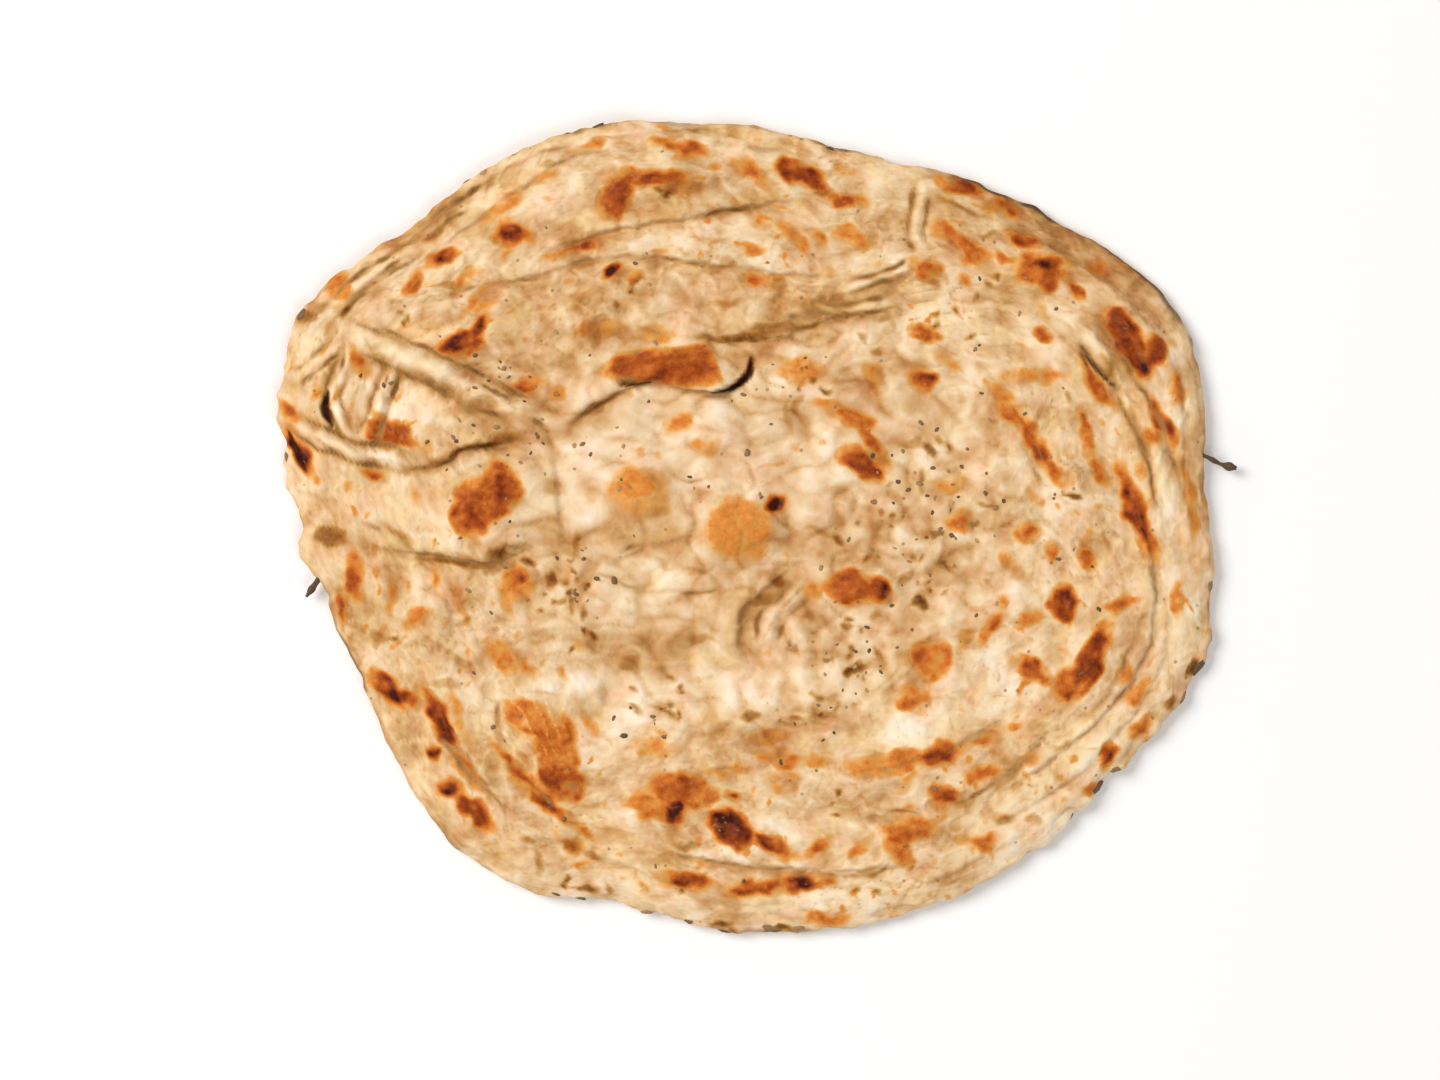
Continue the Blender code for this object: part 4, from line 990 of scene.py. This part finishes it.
class Nodes:
    """Short ways to add nodes to a material and to join them."""

    def __init__(self, name):
        self.material = bpy.data.materials.new(name)
        self.material.use_nodes = True
        self.tree = self.material.node_tree
        self.shader = self.tree.nodes["Principled BSDF"]

    def add(self, kind, **settings):
        node = self.tree.nodes.new(kind)
        for key, value in settings.items():
            setattr(node, key, value)
        return node

    def join(self, source, target):
        self.tree.links.new(source, target)

    def fill(self, node, values):
        """Sets sockets of a node, by their names or numbers, to constants or to other sockets."""
        for key, value in values.items():
            if isinstance(value, bpy.types.NodeSocket):
                self.join(value, node.inputs[key])
            else:
                node.inputs[key].default_value = value

    def math(self, operation, *values):
        node = self.add("ShaderNodeMath", operation=operation)
        self.fill(node, dict(enumerate(values)))
        return node.outputs[0]

    def plus(self, first, second):
        return self.math("ADD", first, second)

    def times(self, first, second):
        return self.math("MULTIPLY", first, second)

    def swing(self, noise, strength):
        """A noise brought about 0 and scaled."""
        return self.times(self.math("SUBTRACT", noise, 0.5), strength)

    def attribute(self, name):
        return self.add("ShaderNodeAttribute", attribute_name=name)

    def value(self, name):
        return self.attribute(name).outputs["Fac"]

    def places(self, scale, source=None):
        """Coordinates in cells: by default the object's own, with the scale in cells for each metre."""
        if source is None:
            source = self.add("ShaderNodeTexCoord").outputs["Object"]
        mapping = self.add("ShaderNodeMapping")
        self.fill(mapping, {"Scale": scale, "Vector": source})
        return mapping.outputs["Vector"]

    def noise(self, places, detail=2.0, roughness=0.5, distortion=0.0):
        node = self.add("ShaderNodeTexNoise")
        self.fill(node, {"Scale": 1.0, "Detail": detail, "Roughness": roughness, "Distortion": distortion})
        self.join(places, node.inputs["Vector"])
        return node.outputs["Fac"]

    def grain(self, size, **settings):
        """Noise in space with cells of the given size in millimetres."""
        return self.noise(self.places((PER_MM / size,) * 3), **settings)

    def ramp(self, value, stops):
        """A colour for a value, from stops with a place and a display colour each."""
        node = self.add("ShaderNodeValToRGB")
        marks = node.color_ramp.elements
        while len(marks) < len(stops):
            marks.new(0.5)
        for mark, (place, *colour) in zip(marks, stops):
            mark.position = place
            mark.color = tint(*colour)
        self.join(value, node.inputs["Fac"])
        return node.outputs["Color"]

    def mask(self, value, low, high):
        """0 where the value is below low, 1 above high."""
        node = self.add("ShaderNodeMapRange", interpolation_type="SMOOTHSTEP")
        self.fill(node, {"Value": value, "From Min": low, "From Max": high})
        return node.outputs["Result"]

    def mix(self, factor, first, second, blend="MIX"):
        node = self.add("ShaderNodeMix", data_type="RGBA", blend_type=blend)
        self.fill(node, {"Factor": factor, 6: first, 7: second})
        return node.outputs[2]

    def washed(self, colour, *wash):
        """A colour darkened by the display colour of a wash."""
        return self.mix(1.0, colour, tint(*wash), "MULTIPLY")

    def bump(self, height, strength, distance):
        node = self.add("ShaderNodeBump")
        self.fill(node, {"Strength": strength, "Distance": distance, "Height": height})
        self.join(node.outputs["Normal"], self.shader.inputs["Normal"])


# Cells of the streaks along the coil: across the disc both ways, and outward.
COIL_GRAIN = (16.0, 16.0, 60.0)
# Display colours from pale to burnt, each with its place on the ramp.
DOUGH_RAMP = (
    (0.0, 172, 119, 66),
    (0.16, 196, 146, 91),
    (0.34, 215, 172, 120),
    (0.54, 232, 198, 153),
    (0.76, 247, 220, 184),
    (1.0, 254, 236, 211),
)
SCORCH_RAMP = (
    (0.18, 235, 180, 108),
    (0.34, 227, 150, 70),
    (0.50, 208, 118, 43),
    (0.66, 178, 85, 26),
    (0.80, 146, 61, 15),
    (0.92, 112, 42, 10),
    (1.0, 66, 20, 8),
)
# Olive tone and painted shade of the creases, grooves, valleys, pits and hollows, lighter to darker.
CREASE_SHADE_RAMP = ((0.2, 194, 148, 90), (0.5, 162, 116, 60), (0.9, 110, 74, 34))
# Colours of the marks and of the painted shadows under folds, lighter to darker.
MARK_AND_SHADOW_RAMP = ((0.05, 255, 255, 255), (0.35, 230, 212, 176), (0.70, 184, 152, 104), (1.0, 128, 98, 60))
CHAR_RAMP = ((0.12, 76, 56, 36), (0.5, 132, 98, 62), (0.95, 192, 148, 98))
RIM_WALL_SHADE_COLOUR = (98, 70, 52)
SLIT_SHADE_COLOUR = (58, 14, 4)
DOT_COLOUR = (130, 90, 50)


def dough_material():
    """Toasted dough: cream to tan, browned spots, olive creases with painted shade, painted shade in slits
    and on the rim's outer wall, charred specks and a dry sheen.
    """
    n = Nodes("toasted_dough")
    fine = n.grain(1.7)
    coarse = n.grain(6.5, roughness=0.55, distortion=0.6)
    grain = n.grain(0.6)
    hue = n.grain(11.0, distortion=0.8)
    turns = n.places(COIL_GRAIN, n.attribute("coil").outputs["Vector"])
    coil = n.noise(turns, detail=3.0, roughness=0.6)

    pallor = n.plus(n.value("pallor"), n.swing(coarse, 1.0))
    pallor = n.plus(pallor, n.times(n.swing(coil, 0.7), n.value("outer")))
    pallor = n.plus(pallor, n.swing(fine, 0.30))
    dough = n.ramp(n.math("MULTIPLY_ADD", pallor, 0.56, 0.5), DOUGH_RAMP)
    dough = n.mix(n.value("butter"), dough, n.washed(dough, 253, 246, 220))
    blush = n.times(n.mask(hue, 0.48, 0.62), 0.45)
    dough = n.mix(blush, dough, n.washed(dough, 252, 226, 214))

    ragged = n.plus(n.math("SUBTRACT", fine, 0.5), n.swing(grain, 0.3))
    ragged = n.times(n.times(ragged, 0.32), n.mask(n.value("brown"), 0.02, 0.35))
    brown = n.plus(n.value("brown"), ragged)
    brown = n.plus(brown, n.times(n.swing(coarse, 0.4), n.value("brown")))
    scorch = n.ramp(brown, SCORCH_RAMP)
    colour = n.mix(n.mask(brown, 0.04, 0.30), dough, n.washed(dough, 248, 222, 184))
    colour = n.mix(n.mask(brown, 0.12, 0.34), colour, n.mix(1.0, colour, scorch, "DARKEN"))

    # Creases, grooves, hollows and pits: olive tone with painted shade.
    crease = n.times(n.value("crease"), n.math("MULTIPLY_ADD", fine, 0.7, 0.65))
    colour = n.mix(n.mask(crease, 0.06, 0.60), colour, n.ramp(crease, CREASE_SHADE_RAMP))
    # Marks and specks, and painted shadows under folds.
    mark = n.times(n.value("mark"), n.math("MULTIPLY_ADD", fine, 0.8, 0.6))
    colour = n.mix(1.0, colour, n.ramp(mark, MARK_AND_SHADOW_RAMP), "MULTIPLY")
    # Painted shade on the outer wall of the rim.
    colour = n.mix(n.value("edge"), colour, tint(*RIM_WALL_SHADE_COLOUR))
    # Painted shade in the slits between layers.
    colour = n.mix(n.value("slit"), colour, tint(*SLIT_SHADE_COLOUR))

    dots = n.add("ShaderNodeTexVoronoi", feature="F1", distance="EUCLIDEAN")
    n.fill(dots, {"Scale": 1.0, "Vector": n.places((PER_MM / 3.4,) * 3)})
    lot = n.add("ShaderNodeSeparateColor")
    n.join(dots.outputs["Color"], lot.inputs["Color"])
    dot = n.times(n.mask(dots.outputs["Distance"], 0.20, 0.12), n.mask(lot.outputs[0], 0.90, 0.92))
    dot = n.times(dot, n.mask(n.value("upper"), 0.4, 0.6))
    colour = n.mix(n.times(dot, 0.6), colour, tint(*DOT_COLOUR))

    n.fill(n.shader, {
        "Base Color": colour,
        "Roughness": n.plus(n.math("MULTIPLY_ADD", brown, -0.22, 0.66), n.swing(fine, 0.2)),
        "Specular IOR Level": 0.10,
        "Subsurface Weight": 0.12,
        "Subsurface Scale": 2.0 * MM,
        "Subsurface Radius": (1.0, 0.55, 0.3),
    })
    relief = n.plus(n.times(fine, 0.6), n.times(grain, 0.2))
    n.bump(n.plus(relief, n.times(coil, n.value("outer"))), 0.5, 0.6 * MM)
    return n.material


def charred_material():
    """Burnt dough: dark grey-brown, some pieces darker than others, rough."""
    n = Nodes("charred_dough")
    cells = n.grain(0.5, detail=3.0)
    shade = n.plus(n.times(n.value("char"), 0.7), n.times(cells, 0.4))
    n.fill(n.shader, {"Base Color": n.ramp(shade, CHAR_RAMP), "Roughness": 0.75})
    n.bump(cells, 0.6, 0.2 * MM)
    return n.material


def floor_material():
    n = Nodes("pale_floor")
    n.fill(n.shader, {"Base Color": (0.99, 0.99, 0.99, 1.0), "Roughness": 0.9, "Specular IOR Level": 0.1})
    return n.material


# ---------------------------------------------------------------- pieces
def make_skin():
    """The bread's whole surface, with the numbers that colour it."""
    item = thinned_ball()
    places, top = form_bread(read_places(item.data))
    mesh = item.data
    write_places(mesh, places)
    blotches = uneven(top, 15.0, 81) + 0.6 * uneven(top, 5.0, 82)
    contact = smooth((0.92 - top.fraction) / 0.2)
    # Painted light and shade on the rim wall: darker on one side, paler on the far side.
    side = smooth(top.bend / 0.9) * (0.2 + 0.8 * np.cos(top.angle - math.radians(SHADED_RIM_SIDE)))
    # Painted shade in hollows: places lying below their surroundings are painted darker.
    hollow = np.clip(top.cavity, -1.2, 1.2)
    halo = hump(top.depth + 2.0, 1.3) * smooth(top.brown * 2.0 + 0.3)
    above = {
        "brown": top.brown,
        "crease": top.crease + 0.2 * np.clip(hollow - 0.4, 0, 1),
        "slit": top.slit,
        "mark": top.mark,
        # Painted shade on the steep outer wall of the rim.
        "edge": top.edge * smooth((top.bend - 0.9) / 0.35),
        # Painted shade in hollows and on one side of the rim wall, painted light on its far side; paler
        # halos round the spots.
        "pallor": top.pallor - 0.30 * hollow + 0.20 * halo - 0.20 * side,
        "butter": top.butter * smooth(0.6 + uneven(top, 18.0, 64)),
    }
    below = {"brown": np.clip(0.30 + 0.45 * blotches, 0.0, 0.85) * contact, "pallor": -0.1 + 0.2 * blotches}
    for name, values in above.items():
        paint(mesh, name, np.where(top.upper, values, below.get(name, 0.0)))
    paint(mesh, "outer", smooth((top.fraction - 0.45) / 0.25))
    paint(mesh, "upper", top.upper.astype(float))
    paint_vector(mesh, "coil", np.stack((np.cos(top.angle), np.sin(top.angle), top.fraction), axis=1))
    mesh.shade_smooth()
    return item


def make_shred(name, points, knot):
    """A scorched shred of dough that sticks out of the rim, knotted along its length."""
    line = bpy.data.curves.new(name, "CURVE")
    line.dimensions = "3D"
    line.bevel_depth = SHRED_RADIUS
    line.bevel_resolution = 3
    line.use_fill_caps = True
    spline = line.splines.new("POLY")
    path = smooth_curve(points)
    spline.points.add(len(path) - 1)
    for index, (place, (x, y)) in enumerate(zip(spline.points, path)):
        t = index / (len(path) - 1)
        place.co = (x, y, SHRED_HEIGHT + 0.5 * math.sin(7.0 * t), 1.0)
        thick = 1.0 - 0.35 * t + 0.75 * math.exp(-(((t - knot) / 0.14) ** 2))
        place.radius = thick * (1.0 + 0.22 * math.sin(17.0 * t))
    drawn = stand(name + "_line", line)
    mesh = mesh_of(drawn)
    bpy.data.objects.remove(drawn, do_unlink=True)
    welded = bmesh.new()
    welded.from_mesh(mesh)
    bmesh.ops.remove_doubles(welded, verts=welded.verts, dist=0.01)
    bmesh.ops.recalc_face_normals(welded, faces=welded.faces)
    welded.to_mesh(mesh)
    welded.free()
    mesh.shade_smooth()
    return stand(name, mesh)


def lump_template():
    ball = bmesh.new()
    bmesh.ops.create_icosphere(ball, subdivisions=2, radius=1.0)
    places = np.array([vertex.co for vertex in ball.verts])
    faces = np.array([[vertex.index for vertex in face.verts] for face in ball.faces])
    ball.free()
    return places, faces


def join_lumps(name, lumps, rng):
    """One mesh of many uneven flattened lumps, each with its place, its axes and its size."""
    places, faces = lump_template()
    all_places = []
    all_faces = []
    chars = []
    for number, (place, axes, size) in enumerate(lumps):
        rough = places * (1.0 + rng.uniform(-0.22, 0.22, (len(places), 1)))
        all_places.append((rough * size) @ np.array(axes).T + np.array(place))
        all_faces.append(faces + number * len(places))
        chars.append(np.full(len(places), rng.random()))
    mesh = bpy.data.meshes.new(name)
    mesh.from_pydata(np.concatenate(all_places).tolist(), [], np.concatenate(all_faces).tolist())
    paint(mesh, "char", np.concatenate(chars))
    mesh.shade_smooth()
    return stand(name, mesh)


def axes_of(up, along):
    """A turn that lays Z along up and X as near as it can be to along."""
    z = Vector(up).normalized()
    y = z.cross(Vector(along)).normalized()
    return Matrix((y.cross(z), y, z)).transposed()


def surface_of(item):
    mesh = item.data
    mesh.calc_loop_triangles()
    places = [vertex.co for vertex in mesh.vertices]
    faces = [triangle.vertices[:] for triangle in mesh.loop_triangles]
    return BVHTree.FromPolygons(places, faces)


def fleck_places(rng):
    """Where the flecks lie: in loose clusters, and a few all over."""
    places = []
    for middle_x, middle_y, spread, count in FLECK_CLUSTERS:
        places.extend(rng.normal((middle_x, middle_y), spread, (count, 2)))
    turns = rng.uniform(-math.pi, math.pi, SCATTERED_FLECKS)
    reaches = np.sqrt(rng.uniform(0.0, 0.9, SCATTERED_FLECKS)) * outline_radius(turns)
    places.extend(np.stack((reaches * np.cos(turns), reaches * np.sin(turns)), axis=1))
    return places


def make_flecks(skin):
    """Small charred flecks pressed into the upper face."""
    rng = np.random.default_rng(FLECK_SEED)
    surface = surface_of(skin)
    lumps = []
    for x, y in fleck_places(rng):
        place, up, _, _ = surface.ray_cast(Vector((x, y, ABOVE)), Vector((0, 0, -1)))
        size = rng.uniform(0.42, 0.80) * (1.35 if rng.random() < 0.15 else 1.0)
        turn = rng.uniform(0.0, 2.0 * math.pi)
        shape = np.array((rng.uniform(1.0, 1.4), rng.uniform(0.6, 0.95), rng.uniform(0.25, 0.4)))
        if place is not None and up.z > 0.3:
            lumps.append((place, axes_of(up, (math.cos(turn), math.sin(turn), 0.1)), size * shape))
    return join_lumps("charred_flecks", lumps, rng)


def make_rim_crumbs(skin):
    """Scorched crumbs that cling to the rim, longer along it."""
    rng = np.random.default_rng(CRUMB_SEED)
    surface = surface_of(skin)
    lumps = []
    for degrees, size in RIM_CRUMBS:
        angle = math.radians(degrees)
        way = Vector((math.cos(angle), math.sin(angle), 0.0))
        place, up, _, _ = surface.ray_cast(way * OUTSIDE + Vector((0, 0, rng.uniform(3.5, 5.5))), -way)
        if place is not None:
            along = (-way.y, way.x, rng.uniform(-0.2, 0.2))
            shape = np.array((rng.uniform(1.3, 1.9), rng.uniform(0.6, 0.9), rng.uniform(0.35, 0.5)))
            lumps.append((place - 0.15 * size * up, axes_of(up, along), size * shape))
    return join_lumps("scorched_rim_crumbs", lumps, rng)


def stand_in_frame(items):
    """Turns millimetres into metres, with the middle of skin and shreds over the solid's middle."""
    corners = [read_places(item.data) for item in items]
    low = np.min([places.min(axis=0) for places in corners[:3]], axis=0)
    high = np.max([places.max(axis=0) for places in corners[:3]], axis=0)
    middle = 0.5 * (low + high)
    solid_low, solid_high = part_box("bread")
    target = 0.5 * (np.array(solid_low) + np.array(solid_high))
    shift = target[:2] - middle[:2] * MM
    for item, places in zip(items, corners):
        moved = places * MM
        moved[:, :2] += shift
        write_places(item.data, moved)
    return shift


def dress(item, material):
    item.data.materials.clear()
    item.data.materials.append(material)
    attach(item, "root")


def make_bread():
    skin = make_skin()
    shreds = [make_shred(f"scorched_shred_{number}", *shred) for number, shred in enumerate(SHREDS, 1)]
    flecks = make_flecks(skin)
    crumbs = make_rim_crumbs(skin)
    outline_middle = stand_in_frame([skin, *shreds, flecks, crumbs])
    dress(skin, dough_material())
    charred = charred_material()
    for item in (*shreds, flecks, crumbs):
        dress(item, charred)
    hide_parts("bread")
    return outline_middle


# ---------------------------------------------------------------- floor, light and camera
VIEW_WIDTH = 432 * MM
VIEW_OFFSET = (-6.9 * MM, -3.3 * MM)
CAMERA_HEIGHT = 1.4
PLATEAU = 9 * MM
SENSOR_WIDTH = 36.0
FLOOR_SIZE = 6.0
# Each light's name, place, size, power and colour.
LIGHTS = (
    ("key", (-1.9, 1.0, 2.5), 2.0, 78.0, (1.0, 0.985, 0.96)),
    ("fill", (1.2, -1.6, 2.8), 2.4, 32.0, (1.0, 1.0, 1.0)),
)
STUDIO_COLOUR = (1.0, 1.0, 1.0, 1.0)
STUDIO_STRENGTH = 0.34


def make_floor():
    bpy.ops.mesh.primitive_grid_add(x_subdivisions=4, y_subdivisions=4, size=FLOOR_SIZE)
    floor = bpy.context.object
    floor.name = "floor"
    floor.data.materials.append(floor_material())


def make_light(name, place, size, power, colour):
    """A round light that shines on the middle of the floor."""
    lamp = bpy.data.lights.new(name, "AREA")
    lamp.shape = "DISK"
    lamp.size = size
    lamp.energy = power
    lamp.color = colour
    item = stand(name, lamp)
    item.location = place
    item.rotation_mode = "QUATERNION"
    item.rotation_quaternion = (-item.location).to_track_quat("-Z", "Y")


def make_studio():
    world = bpy.data.worlds.new("studio")
    world.use_nodes = True
    background = world.node_tree.nodes["Background"]
    background.inputs["Color"].default_value = STUDIO_COLOUR
    background.inputs["Strength"].default_value = STUDIO_STRENGTH
    bpy.context.scene.world = world


def make_camera(outline_middle):
    lens = bpy.data.cameras.new("camera")
    camera = stand("camera", lens)
    middle_x, middle_y = outline_middle
    camera.location = (middle_x + VIEW_OFFSET[0], middle_y + VIEW_OFFSET[1], CAMERA_HEIGHT + PLATEAU)
    lens.sensor_width = SENSOR_WIDTH
    lens.lens = lens.sensor_width * CAMERA_HEIGHT / VIEW_WIDTH
    bpy.context.scene.camera = camera


def set_display():
    display = bpy.context.scene.view_settings
    display.view_transform = "Standard"
    display.look = "None"


bread_middle = make_bread()
make_floor()
for light in LIGHTS:
    make_light(*light)
make_studio()
make_camera(bread_middle)
set_display()
